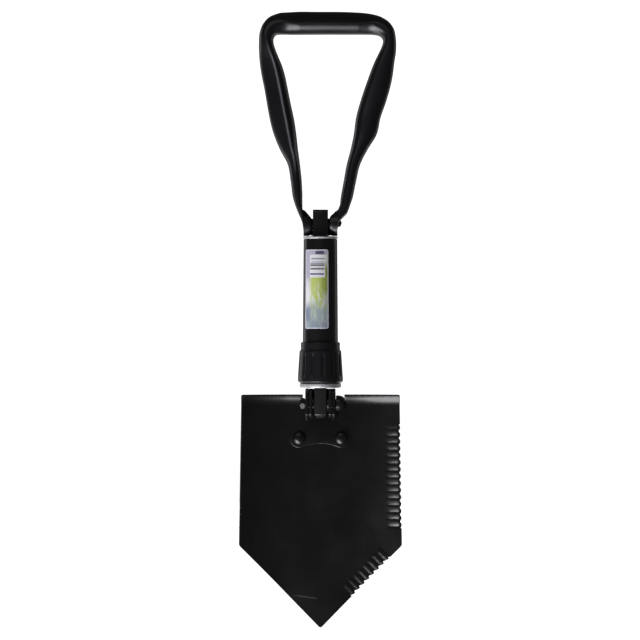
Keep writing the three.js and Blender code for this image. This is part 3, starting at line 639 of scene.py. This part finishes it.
def hinge_tongue():
    half_x = TONGUE_HIGH.x
    stem_y = 11.6
    centre_y, centre_z = BLADE_PIVOT.y, BLADE_PIVOT.z
    root_top = WASHER_LOW.z - 0.6
    lower = [point for point in eye(EYE_R) if point[1] < centre_z]
    lower.sort(key=lambda point: math.atan2(point[0] - centre_y, centre_z - point[1]))
    side_view = lower + [
        (centre_y + EYE_R, centre_z),
        (centre_y + EYE_R, root_top),
        (stem_y, root_top),
        (stem_y, TONGUE_HIGH.z),
        (-stem_y, TONGUE_HIGH.z),
        (-stem_y, root_top),
        (centre_y - EYE_FLAT, root_top),
        (centre_y - EYE_FLAT, centre_z),
    ]
    piece = slab("hinge_tongue_bar", side_view, "yz", -half_x, half_x, edge=0.6)
    ease, low = 4.6, centre_z - EYE_R  # the lower end is rounded from side to side too
    for vertex in piece.data.vertices:
        down = min(ease, max(0.0, low + ease - vertex.co.z / MM))
        if down > 0:
            vertex.co.x *= (half_x - ease + math.sqrt(ease ** 2 - down ** 2)) / half_x
    # The tongue wears the paler copy of the black paint, a painted sheen.
    return place(piece, lit_tongue_paint, "core", "black_paint", "hinge_tongue")


# ------------------------ handle

LOBE_R = 12.5
LOBE_IN = 7.9
ARM_IN = max(16.8, RIM_HIGH.x + 0.5)
LEFT_ARM_TOP, RIGHT_ARM_TOP = 238, 225  # above these heights the pipe turns into the bar

# The bent pipe's two edges as seen from the front, from above the left foot round to above the
# right foot: outer x and z, inner x and z, and the depth from front to back.
LOOP = [
    (-19.2, 67.3, -8.6, 66.4, 25),
    (-21.6, 72.6, -12.6, 71.4, 25),
    (-23.2, 76.8, -16.2, 76.2, 25.5),
    (-24.4, 80.2, -16.8, 80, 26),
    (-25.6, 84, -16.8, 84, 27),
    (-28.1, 100.8, -17.4, 100.8, 29),
    (-30.9, 117, -19.1, 117, 28.5),
    (-38.6, 132, -21.1, 132, 27),
    (-45.5, 150, -23.2, 150, 24.5),
    (-47.9, 160, -24.8, 160, 23.5),
    (-50.6, 174.5, -27.9, 174.5, 23),
    (-52.9, 188, -30.6, 188, 23),
    (-55.7, 202, -33.5, 202, 23.5),
    (-57.2, 212, -36.4, 211.4, 24),
    (-58, 222, -40, 220, 25),
    (-58.2, 233, -43.2, 228.5, 25.5),
    (-57.2, 243, -44.3, 234.5, 25.5),
    (-54.4, 250, -43.4, 237.6, 25),
    (-49.4, 255.9, -41.5, 239.3, 24.5),
    (-41, 259.8, -37.5, 239.8, 24),
    (-29.3, 261.2, -28, 239.7, 24),
    (0, 261.6, 0, 239.8, 24),
    (30.2, 261.2, 30, 239.8, 24),
    (42, 260.4, 41, 239.8, 24),
    (50.5, 259, 49.5, 239.6, 24),
    (58, 256.5, 54.8, 238.6, 24.5),
    (64.8, 252, 57.6, 236.8, 25),
    (69.4, 245.5, 58.9, 234.5, 25.5),
    (71.3, 236.5, 58.6, 231, 25.5),
    (71.6, 227, 56.6, 225.8, 25.5),
    (69.9, 213.3, 50.6, 213.3, 25),
    (67.6, 197, 44.5, 197.2, 24),
    (62.7, 178.3, 38.1, 178.3, 23.5),
    (56.9, 161.3, 33.5, 161.3, 24.5),
    (53.1, 145.2, 31.3, 145.2, 25.5),
    (44.6, 131.1, 28.3, 131.1, 27),
    (37.6, 117, 24.6, 117, 28.5),
    (33.7, 100.8, 21.7, 100.8, 29),
    (30, 84, 18.8, 84, 27),
    (28.3, 79, 18.3, 79.5, 26),
    (27, 75.4, 17, 76, 25.5),
    (24.8, 70.4, 12.6, 71.4, 25),
    (21, 66.5, 9, 67.6, 25),
]


def foot(side):
    """Rows of the flat lobe round the handle's pin, from its lowest point up to the pin."""
    rows = []
    for rise in (0.02, 0.08, 0.2, 0.4, 0.65, 1.0):
        z = HANDLE_PIVOT.z - LOBE_R * (1 - rise)
        depth = 2 * math.sqrt(LOBE_R ** 2 - (HANDLE_PIVOT.z - z) ** 2)
        rows.append((side * (15.3 + 1.9 * rise), z, side * LOBE_IN, z, depth))
    return rows


def through(rows, count):
    """A smooth curve through the rows, as count + 1 rows spread evenly along it."""
    rows = np.array(rows, float)
    middle = (rows[:, 0:2] + rows[:, 2:4]) / 2
    along = np.concatenate([[0], np.cumsum(np.linalg.norm(np.diff(middle, axis=0), axis=1))])
    slope = np.gradient(rows, along, axis=0)
    where = np.linspace(0, along[-1], count + 1)
    i = np.clip(np.searchsorted(along, where, side="right") - 1, 0, len(along) - 2)
    gap = (along[i + 1] - along[i])[:, None]
    s = (where[:, None] - along[i][:, None]) / gap
    return ((2 * s ** 3 - 3 * s ** 2 + 1) * rows[i] + (s ** 3 - 2 * s ** 2 + s) * gap * slope[i]
            + (3 * s ** 2 - 2 * s ** 3) * rows[i + 1] + (s ** 3 - s ** 2) * gap * slope[i + 1])


def crease(x, z):
    """How sharp the front's ridge is (0 to 1), and where it runs: 1 at the outer edge, -1 at the inner."""
    if z > (LEFT_ARM_TOP if x < 0 else RIGHT_ARM_TOP):
        bar = smooth_step(x, -46, -30) * (1 - smooth_step(x, 44, 60))
        return float(bar), float(np.interp(x, (-42, -20, 36, 51), (0.22, -0.2, -0.2, 0.1)))
    if x < 0:
        return float(smooth_step(z, 105, 130) * (1 - smooth_step(z, 216, LEFT_ARM_TOP))), -0.32
    return 0.0, 0.0


def handle_loop():
    """The bent pipe, squarer at its flat feet, with a sharp ridge where its front is creased."""
    half = 28
    rings = through(foot(-1) + LOOP + foot(1)[::-1], 460)
    turn = np.linspace(-math.pi / 2, math.pi / 2, half + 1)
    points, ridge = [], []
    for outer_x, outer_z, inner_x, inner_z, depth in rings:
        centre = Vector(((outer_x + inner_x) / 2, (outer_z + inner_z) / 2))
        to_outer = Vector((outer_x, outer_z)) - centre
        square = float(np.interp(centre.y, (60, 66, 84, 235, 245), (6, 4.5, 2.6, 2.5, 2.2)))
        sharp, at = crease(centre.x, centre.y)
        at *= sharp
        on_left_arm = centre.x < 0 and centre.y < LEFT_ARM_TOP
        for front in (True, False):
            wide_power = square - (square - 1.25) * sharp if front else square
            deep_power = square - (square - 2.0) * sharp if front else square
            wides = np.sign(np.sin(turn)) * np.abs(np.sin(turn)) ** (2 / wide_power)
            deeps = np.abs(np.cos(turn)) ** (2 / deep_power)
            if front:
                wides = np.where(wides > 0, at + wides * (1 - at), at + wides * (1 + at))
            else:
                wides, deeps = wides[-2:0:-1], deeps[-2:0:-1]
            for wide, deep in zip(wides, deeps):
                y = (-1 if front else 1) * deep * depth / 2
                points.append((centre.x + to_outer.x * wide, y, centre.y + to_outer.y * wide))
                # These shares mark the left arm's ridge, where a highlight is painted on the front.
                ridge_glint_share = 1 - float(smooth_step(abs(wide - at) * to_outer.length, 0.3, 1.5))
                ridge.append(ridge_glint_share * sharp if front and on_left_arm else 0)
    count = len(points) // len(rings)
    faces = grid_faces(len(rings), count, close_columns=True)
    faces += [tuple(range(count)), tuple(range(len(points) - 1, len(points) - count - 1, -1))]
    piece = new_piece("handle_loop_pipe", [clear_of_tube(point) for point in points], faces, sharp=60)
    piece.data.attributes.new(RIDGE_HIGHLIGHT_MARK, "FLOAT", "POINT").data.foreach_set("value", ridge)
    return place(piece, handle_paint, "handle", "black_paint", "handle_loop")


def clear_of_tube(point):
    """Keeps an arm outside the space that the tube's rim sweeps as the handle folds."""
    x, y, z = point
    sweep_top = 100
    if z > sweep_top:
        return point
    past_lobe = smooth_step(math.hypot(y, z - HANDLE_PIVOT.z), LOBE_R - 0.55, LOBE_R + 0.15)
    least = LOBE_IN + (ARM_IN - LOBE_IN) * float(past_lobe)
    return (math.copysign(max(abs(x), least), x), y, z)


def handle_pin():
    low, high = span("handle_pin")
    head_r, pin_r, seat = 3.8, 3.2, 16.5
    profile = rounded([
        (0, low.x, 0),
        (pin_r, low.x, 0.4),
        (pin_r, seat, 0.1),
        (head_r, seat, 0.3),
        (head_r, seat + 2.4, 1.9),
        (0, high.x, 0),
    ], closed=False)
    piece = lathe("handle_pin_round", profile, "x", (0, HANDLE_PIVOT.y, HANDLE_PIVOT.z), 48)
    return place(piece, black_paint, "handle", "black_paint", "handle_pin")


def handle_washer(side):
    """A spacer that fills the gap between a foot and the block, set low so that it hides behind the foot."""
    node = "handle_washer_" + side
    low, high = span(node)
    radius, outer = 8.2, LOBE_IN + 0.8
    inner = max(min(abs(low.x), abs(high.x)), BLOCK_HALF + 0.05)
    first, last = (-outer, -inner) if side == "left" else (inner, outer)
    profile = rounded([(0, first, 0), (radius, first, 0.2), (radius, last, 0.2), (0, last, 0)], closed=False)
    centre_z = HANDLE_PIVOT.z - (LOBE_R - 0.3 - radius)
    piece = lathe(node + "_ring", profile, "x", (0, HANDLE_PIVOT.y, centre_z), 64)
    # The washer gets the near-black steel, painted shade in the gap between foot and block.
    return place(piece, steel_painted_shade, "handle", "plain_steel", node)


# ------------------------ blade hinge

EAR_IN = 11.1
EAR_OUT = 14.3
PLATE_FRONT, PLATE_BACK = 2.2, 4.4
RIVET_X = 19.9
RIVET_Z = -141
PLATE_LOBE_R = 9.5
PLATE_TOP = -117.5


def bracket_outline():
    """Right half of the plate from its top middle round the rivet's lobe, then mirrored."""
    shoulder = -125
    right = [(0, PLATE_TOP), (EAR_OUT, PLATE_TOP), (EAR_OUT, shoulder)]
    right += [(EAR_OUT + 0.7 + 1.6 * s * s + 4.6 * s ** 3, shoulder - 6.4 * s) for s in (0.4, 0.75)]
    right += [(RIVET_X + PLATE_LOBE_R * math.cos(a), RIVET_Z + PLATE_LOBE_R * math.sin(a))
              for a in np.radians(np.linspace(80, -100, 49))]
    right += [(x, -146.6 - 3.8 * (x / 18.0) ** 2) for x in np.linspace(16.5, 0, 23)]
    return right + [(-x, z) for x, z in right[-2:0:-1]]


def hinge_bracket():
    """The plate on the blade, the two ears and the web that joins the ears' backs."""
    web_back, web_low, web_top = BRACKET_HIGH.y, -109, -94.6
    web = rounded([(-EAR_OUT, web_low, 1.5), (EAR_OUT, web_low, 1.5),
                   (EAR_OUT, web_top, 1.0), (-EAR_OUT, web_top, 1.0)])
    parts = [slab("web", web, "xz", web_back - 2, web_back)]
    cheek_low = -124.5
    cheek = [(web_back, web_top), (web_back, web_low), (PLATE_BACK, web_low), (PLATE_BACK, cheek_low),
             (PLATE_FRONT, cheek_low), (-5, cheek_low + 4), (BLADE_PIVOT.y, BLADE_PIVOT.z),
             (BLADE_PIVOT.y, web_top)]
    for side in (-1, 1):
        low, high = sorted((EAR_IN * side, EAR_OUT * side))
        parts.append(slab("cheek", cheek, "yz", low, high))
        parts.append(slab("ear", eye(EYE_R), "yz", low, high))
    bent = fused("hinge_bracket_bent", parts, 0.32, 30)
    plate = slab("plate", bracket_outline(), "xz", PLATE_FRONT, PLATE_BACK, edge=0.55)
    piece = fused("hinge_bracket_plate", [bent, plate])
    return place(piece, blade_paint, "blade", "blade_paint", "hinge_bracket")


def blade_rivet(side):
    name = "blade_rivet_left" if side < 0 else "blade_rivet_right"
    low, high = span(name)
    front, back = -PLATE_FRONT + 0.3, -(high.y - 1.4)
    head, shank, tail = 6.1, 3.0, 4.8
    profile = rounded([
        (0, -high.y, 0),
        (tail, -high.y, 0.6),
        (tail, back, 0.2),
        (shank, back, 0),
        (shank, front, 0),
        (head, front, 0.2),
    ], closed=False)
    profile += dome(head, front, -low.y, 8)
    piece = lathe(name + "_dome", profile, "-y", (RIVET_X * side, 0, RIVET_Z), 48)
    return place(piece, blade_paint, "blade", "blade_paint", name)


def ear_liner(node):
    """A plate on the inside of an ear, with a round hub towards the tongue."""
    low, high = span(node)
    side = math.copysign(1, low.x)
    near, far = sorted((low.x * side, high.x * side))
    face, hub_r = near + 1.9, 6.5
    plate = slab("liner", eye((high.z - low.z) / 2), "yz", *sorted((face * side, far * side)), edge=0.4)
    hub = slab("hub", disc(BLADE_PIVOT.y, BLADE_PIVOT.z, hub_r), "yz",
               *sorted((near * side, (face + 1) * side)), edge=0.5)
    piece = fused(node + "_plate", [plate, hub])
    return place(piece, black_paint, "blade", "black_paint", node)


def hinge_bolt():
    low, high = span("hinge_bolt")
    shank, head, seat = 4.0, 7.5, EAR_OUT + 0.3
    brim = seat + 3.0
    profile = rounded([(0, low.x, 0), (shank, low.x, 1.2), (shank, seat, 0.1), (head, seat, 0.4), (head, brim, 0)],
                      closed=False)
    profile += dome(head, brim, high.x, 10)
    piece = lathe("hinge_bolt_round", profile, "x", (0, BLADE_PIVOT.y, BLADE_PIVOT.z), 72)
    return place(piece, black_paint, "blade", "black_paint", "hinge_bolt")


def hinge_nut():
    """A hexagon nut with both faces chamfered: where the chamfer's cone is smaller, it cuts the hexagon."""
    low, high = span("hinge_bolt_nut")
    radius, bore, sides, rows = 5.8, 4.1, 96, 14
    points = []
    for k in range(sides):
        angle = 2 * math.pi * k / sides
        turn = angle % (math.pi / 3) - math.pi / 6
        flat = radius * math.cos(math.pi / 6) / math.cos(turn)
        for j in range(rows + 1):
            share = j / rows
            x = low.x + (high.x - low.x) * share
            cone = radius - 0.95 + 1.3 * min(x - low.x, high.x - x)
            reach = min(flat, cone, radius)
            points.append((x, reach * math.cos(angle), reach * math.sin(angle)))
        for x in (high.x, low.x):
            points.append((x, bore * math.cos(angle), bore * math.sin(angle)))
    points = [Vector(point) + Vector((0, BLADE_PIVOT.y, BLADE_PIVOT.z)) for point in points]
    piece = new_piece("hinge_bolt_nut_hex", points, grid_faces(sides, rows + 3, True, True), sharp=25)
    return place(piece, black_paint, "blade", "black_paint", "hinge_bolt_nut")


# ------------------------ blade

BLADE_THICK = 1.8
SHEET_BACK = PLATE_BACK
FLAT_HALF = 28
WING_R = 122.7
TOP_HALF, CORNER_HALF, CORNER_Z = 74.7, 77.0, -241.3
TIP_R = 2.2
NOTCH_LEFT, NOTCH_RIGHT, NOTCH_Z = 16.6, 22.6, -112.5
LIP_R = 14.0
LIP_TURN = math.radians(45)
LIP_FLAT = 0.8
LIP_Z = BLADE_HIGH.z + 1.9 - (LIP_R + BLADE_THICK) * math.sin(LIP_TURN) - LIP_FLAT * math.cos(LIP_TURN)
SIDE_RIBS, SIDE_RIB_TOP, SIDE_RIB_PITCH = 15, -131.2, 6.55
SIDE_RIB_END = SIDE_RIB_TOP - SIDE_RIBS * SIDE_RIB_PITCH
SLANT_RIBS, SLANT_RIB_START, SLANT_RIB_PITCH = 8, 19, 6.5
SLANT_RIB_HEIGHT, SLANT_RIB_HALF = 0.43, 3.25
RIPPLE = 0.95  # height of the side's ripples, from valley to crest
RIPPLE_RISE = 0.22  # share of a ripple that rises, below each valley
RIPPLE_LEVEL = 0.45  # the plain sheet's level in a ripple
RIB_BAND = 24  # width of the band along the right edge that holds the ribs
LEFT_COLUMNS, NOTCH_COLUMNS = 22, 14

slant_along = Vector((-CORNER_HALF, BLADE_LOW.z - CORNER_Z)).normalized()
slant_out = Vector((-slant_along.y, slant_along.x))


def sheet_back(x):
    """The sheet's back: flat in the middle, with wings that curve to the front."""
    return SHEET_BACK - max(0.0, abs(x) - FLAT_HALF) ** 2 / (2 * WING_R)


def side_x(z):
    return TOP_HALF + (CORNER_HALF - TOP_HALF) * (BLADE_HIGH.z - z) / (BLADE_HIGH.z - CORNER_Z)


def slant_x(z):
    """The slanted edge, ending in a small round at the tip."""
    half_angle = math.atan2(-slant_along.x, -slant_along.y)
    apex = BLADE_LOW.z - TIP_R * (1 / math.sin(half_angle) - 1)
    centre = BLADE_LOW.z + TIP_R
    touch = centre - TIP_R * math.sin(half_angle)
    if z < touch:
        return math.sqrt(max(0.0, TIP_R ** 2 - (centre - z) ** 2))
    return (z - apex) * math.tan(half_angle)


def edge_x(z):
    """Half width of the blade's plain outline, with a small round at the side corner."""
    side, slant, ease = side_x(z), slant_x(z), 1.6
    if slant > side + ease:
        return side
    if slant < side - ease:
        return slant
    share = (slant - side + ease) / (2 * ease)
    return slant * (1 - share) + side * share - ease * share * (1 - share)


def slant_place(x, z):
    """How far along the right slanted edge a point is from the side corner, and how far inside it."""
    offset = Vector((x - CORNER_HALF, z - CORNER_Z))
    return offset.dot(slant_along), -offset.dot(slant_out)


def teeth(turns, count, power):
    """The edge's wave between the first rib and the last: 0 on a tooth, 1 half way to the next."""
    if not -0.5 <= turns <= count - 0.5:
        return 0.0
    fade = min(1.0, 6 * min(turns + 0.5, count - 0.5 - turns) + 0.4)
    return fade * (0.5 - 0.5 * math.cos(2 * math.pi * turns)) ** power


def toothed_x(z):
    """The right edge, cut back between the teeth."""
    x = edge_x(z)
    if z > CORNER_Z:
        return x - 1.3 * teeth((SIDE_RIB_TOP - z) / SIDE_RIB_PITCH, SIDE_RIBS, 2.0)
    along, _ = slant_place(x, z)
    return x - 2.5 * teeth((along - SLANT_RIB_START) / SLANT_RIB_PITCH, SLANT_RIBS, 1.2)


def ripple(z):
    """The side's ripples: each rises steeply below a valley, then leans back more and more to the next."""
    turns = (SIDE_RIB_TOP - 1.1 - z) / SIDE_RIB_PITCH
    if turns < 0:
        return -RIPPLE * RIPPLE_LEVEL * max(0.0, 1 + turns / 0.55) ** 1.8
    if turns > SIDE_RIBS - 1:
        return -RIPPLE * RIPPLE_LEVEL * (1 - float(smooth_step(turns - SIDE_RIBS + 1, 0, 0.4)))
    share = turns % 1.0
    if share < RIPPLE_RISE:
        height = float(smooth_step(share, -0.06, RIPPLE_RISE)) ** 0.8
    else:
        height = 1 - ((share - RIPPLE_RISE) / (1 - RIPPLE_RISE)) ** 1.9
    return RIPPLE * (height - RIPPLE_LEVEL)


def slant_ridge(along):
    """A narrow ridge on each tooth of the slant."""
    turns = (along - SLANT_RIB_START) / SLANT_RIB_PITCH
    across = (turns - np.clip(round(turns), 0, SLANT_RIBS - 1)) * SLANT_RIB_PITCH
    if abs(across) >= SLANT_RIB_HALF:
        return 0.0
    return SLANT_RIB_HEIGHT * (0.5 + 0.5 * math.cos(math.pi * across / SLANT_RIB_HALF))


def relief(x, z):
    """How far the pressed ribs stand out to the front."""
    if x < 2:  # the left half is plain
        return 0.0
    if z > CORNER_Z + 9:
        inside = side_x(z) - x
        reach = smooth_step(inside, 0.9, 2.8)
        reach *= 1 - 0.34 * smooth_step(inside, 4.5, 10.0) - 0.46 * smooth_step(inside, 10.0, 12.8)
        reach -= 0.20 * smooth_step(inside, 12.4, 15.2)
        return float(reach) * ripple(z)
    along, inside = slant_place(x, z)
    reach = smooth_step(inside, -0.5, 1.2) * (1 - smooth_step(inside, 9.0, 13.5))
    return float(reach) * slant_ridge(along)


def row_heights():
    """Heights of the blade's rows of points: close together where the ribs are."""
    slant_top, slant_end = -250, -296
    stops = [
        (LIP_Z, NOTCH_Z, 5),
        (NOTCH_Z, SIDE_RIB_TOP + 4, 14),
        (SIDE_RIB_TOP + 4, SIDE_RIB_END, 190),
        (SIDE_RIB_END, slant_top, 30),
        (slant_top, slant_end, 110),
        (slant_end, BLADE_LOW.z + 3, 24),
    ]
    heights = []
    for start, end, steps in stops:
        heights += [start + (end - start) * k / steps for k in range(steps)]
    tip = [3 - 3 * math.sin(math.radians(90 * k / 8)) for k in range(9)]
    return heights + [BLADE_LOW.z + max(rise, 0.02) for rise in tip]


def lip_rows():
    """The bent shoulder's rows from its end down to the bend's start: forward, up, and from the end."""
    steps = [(LIP_TURN, LIP_FLAT * (1 - k / 4)) for k in range(4)]
    steps += [(LIP_TURN * (1 - k / 10), 0) for k in range(10)]
    return [(LIP_R * (1 - math.cos(turn)) + run * math.sin(turn), LIP_R * math.sin(turn) + run * math.cos(turn),
             LIP_FLAT - run + LIP_R * (LIP_TURN - turn)) for turn, run in steps]


def column_places(left, right):
    """Places of a row's points from the left edge to the right, closest together where the ribs are."""
    start = max(-NOTCH_LEFT, left * 0.45)
    stop = min(NOTCH_RIGHT, max(right - RIB_BAND, right * 0.12))
    shares = [k / 12 * 0.5 for k in range(12)] + [0.5 + 0.5 * k / 54 for k in range(55)]
    places = [start + (left - start) * (1 - k / LEFT_COLUMNS) for k in range(LEFT_COLUMNS)]
    places += [start + (stop - start) * k / NOTCH_COLUMNS for k in range(NOTCH_COLUMNS)]
    return places + [stop + (right - stop) * inner_share(share, right - stop) for share in shares]


def blade():
    """The sheet's back as a grid, with a notch for the hinge, thickened to the front. That puts
    the sheet its own thickness further forward than the CAD's."""
    corner, far_from_end = 2.2, 99
    rows = [(forward, LIP_Z + up, LIP_Z, from_end) for forward, up, from_end in lip_rows()]
    rows += [(0, z, z, far_from_end) for z in row_heights()]
    points = []
    for forward, level, z, from_end in rows:
        cut = corner - math.sqrt(corner ** 2 - max(0.0, corner - from_end) ** 2)
        places = column_places(-edge_x(z) + cut, toothed_x(z) - cut)
        points += [(x, sheet_back(x) - forward - (relief(x, z) if forward == 0 else 0), level)
                   for x in places]
    columns = len(points) // len(rows)
    faces = []
    for k, face in enumerate(grid_faces(len(rows), columns)):
        i, j = divmod(k, columns - 1)
        beside_notch = not LEFT_COLUMNS <= j < LEFT_COLUMNS + NOTCH_COLUMNS
        if beside_notch or rows[i + 1][2] < NOTCH_Z - 0.001:
            faces.append(face)
    piece = new_piece("blade_sheet", points, faces, outward=False)
    reshape(piece.data, drop_loose)
    modify(piece, "SOLIDIFY", thickness=BLADE_THICK * MM, offset=-1, use_even_offset=True, use_rim=True)
    settle(piece)
    modify(piece, "BEVEL", width=0.35 * MM, segments=2, limit_method="ANGLE", angle_limit=math.radians(60))
    settle(piece, sharp=45)
    return place(piece, blade_paint, "blade", "blade_paint", "blade")


def inner_share(share, width):
    """Half of the columns go to the plain sheet, and the other half to the band that holds the ribs."""
    crowd = min(0.5, max(0.2, 1 - RIB_BAND / max(width, 1)))
    return share * 2 * crowd if share < 0.5 else crowd + (share - 0.5) * 2 * (1 - crowd)


def drop_loose(work):
    bmesh.ops.delete(work, geom=[point for point in work.verts if not point.link_faces], context="VERTS")


# ------------------------ camera, light and stage


CAMERA_LENS = 154.8
CAMERA_DISTANCE = 2.6
CAMERA_TARGET = (-0.0004, 0, -0.0296)


def aim(thing, target):
    thing.rotation_euler = (Vector(target) - thing.location).to_track_quat("-Z", "Y").to_euler()


def add_camera():
    """A long lens at the height of the tool's middle, square to its front."""
    data = bpy.data.cameras.new("camera")
    data.lens = CAMERA_LENS
    camera = bpy.data.objects.new("camera", data)
    bpy.context.scene.collection.objects.link(camera)
    target = Vector(CAMERA_TARGET)
    camera.location = target + Vector((0, -CAMERA_DISTANCE, 0))
    aim(camera, target)
    bpy.context.scene.camera = camera


def add_light(name, direction, distance, size, strength, tint=(1, 1, 1)):
    """A softbox in a direction from the tool's middle. strength is its brightness, whatever its size."""
    data = bpy.data.lights.new(name, "AREA")
    data.shape = "RECTANGLE"
    data.size, data.size_y = size
    data.energy = strength * math.pi * size[0] * size[1]
    data.color = tint
    light = bpy.data.objects.new(name, data)
    bpy.context.scene.collection.objects.link(light)
    light.location = Vector(direction).normalized() * distance
    light.visible_camera = False
    aim(light, (0, 0, 0))


def add_stage():
    """A round seamless bowl: a pale floor at the tip that curves up into a pale wall."""
    ground, reach, bend, height, sides = BLADE_LOW.z - 0.5, 3000, 900, 2600, 96
    profile = [(0, ground), (reach - bend, ground)]
    profile += [(reach - bend + bend * math.sin(a), ground + bend * (1 - math.cos(a)))
                for a in np.radians(np.linspace(6, 90, 14))]
    profile += [(reach, ground + height)]
    points = [(0, 0, ground)]
    for radius, z in profile[1:]:
        points += [(x, y, z) for x, y in disc(0, 0, radius, sides)]
    faces = [(0, 1 + k, 1 + (k + 1) % sides) for k in range(sides)]
    faces += [tuple(1 + v for v in face) for face in grid_faces(len(profile) - 1, sides, close_columns=True)]
    bowl = new_piece("studio_bowl", points, faces, outward=False, sharp=60)
    made = Material("studio_white", specular_ior_level=0.0, roughness=1.0, base_color=grey(0.8))
    made.set(made.shader, {"emission_color": grey(1.0), "emission_strength": 1.0})
    bowl.data.materials.append(made.made)
    for ray in ("diffuse", "glossy", "transmission", "volume_scatter", "shadow"):
        setattr(bowl, "visible_" + ray, False)
    world = bpy.data.worlds.new("studio_air")
    world.use_nodes = True
    world.node_tree.nodes["Background"].inputs["Color"].default_value = grey(0.08, (0.98, 0.97, 1.06))
    bpy.context.scene.world = world
    bpy.context.scene.view_settings.view_transform = "Standard"


def add_lights():
    lilac = (0.98, 0.965, 1.0)
    add_light("low_box", (-0.38, -0.43, -0.82), 1.5, (0.90, 1.25), 9.2, lilac)
    add_light("under_left", (-0.48, 0.17, -0.86), 1.5, (0.7, 0.6), 6, lilac)
    add_light("front_high", (-0.25, -0.80, 0.55), 1.8, (1.4, 0.8), 0.65, lilac)
    add_light("left_back", (-0.80, 0.60, 0.0), 1.3, (0.60, 1.5), 1.0, lilac)
    add_light("right_back", (0.80, 0.60, 0.0), 1.3, (0.40, 1.5), 0.6)
    add_light("behind", (0.0, 0.98, 0.20), 1.7, (0.9, 1.2), 1.5)
    add_light("low_back", (0.0, 0.85, -0.50), 1.5, (2.4, 1.0), 0.9)


# ------------------------ the shovel

add_camera()
add_lights()
add_stage()

shaft_tube()
mouth_collar()
product_label()
lock_nut()
thrust_ring()
handle_block()
hinge_tongue()
handle_loop()
handle_pin()
for side_name in ("left", "right"):
    handle_washer(side_name)
    ear_liner("hinge_spacer_" + side_name)
hinge_bracket()
for rivet_side in (-1, 1):
    blade_rivet(rivet_side)
hinge_bolt()
hinge_nut()
blade()

for node_name in ("threaded_end", "tie_rod", "upper_roll_pin", "lower_roll_pin", "lock_nut_insert"):
    dress(frame["nodes"][node_name], plain_steel)
dress(frame["nodes"]["rod_guide"], nylon)
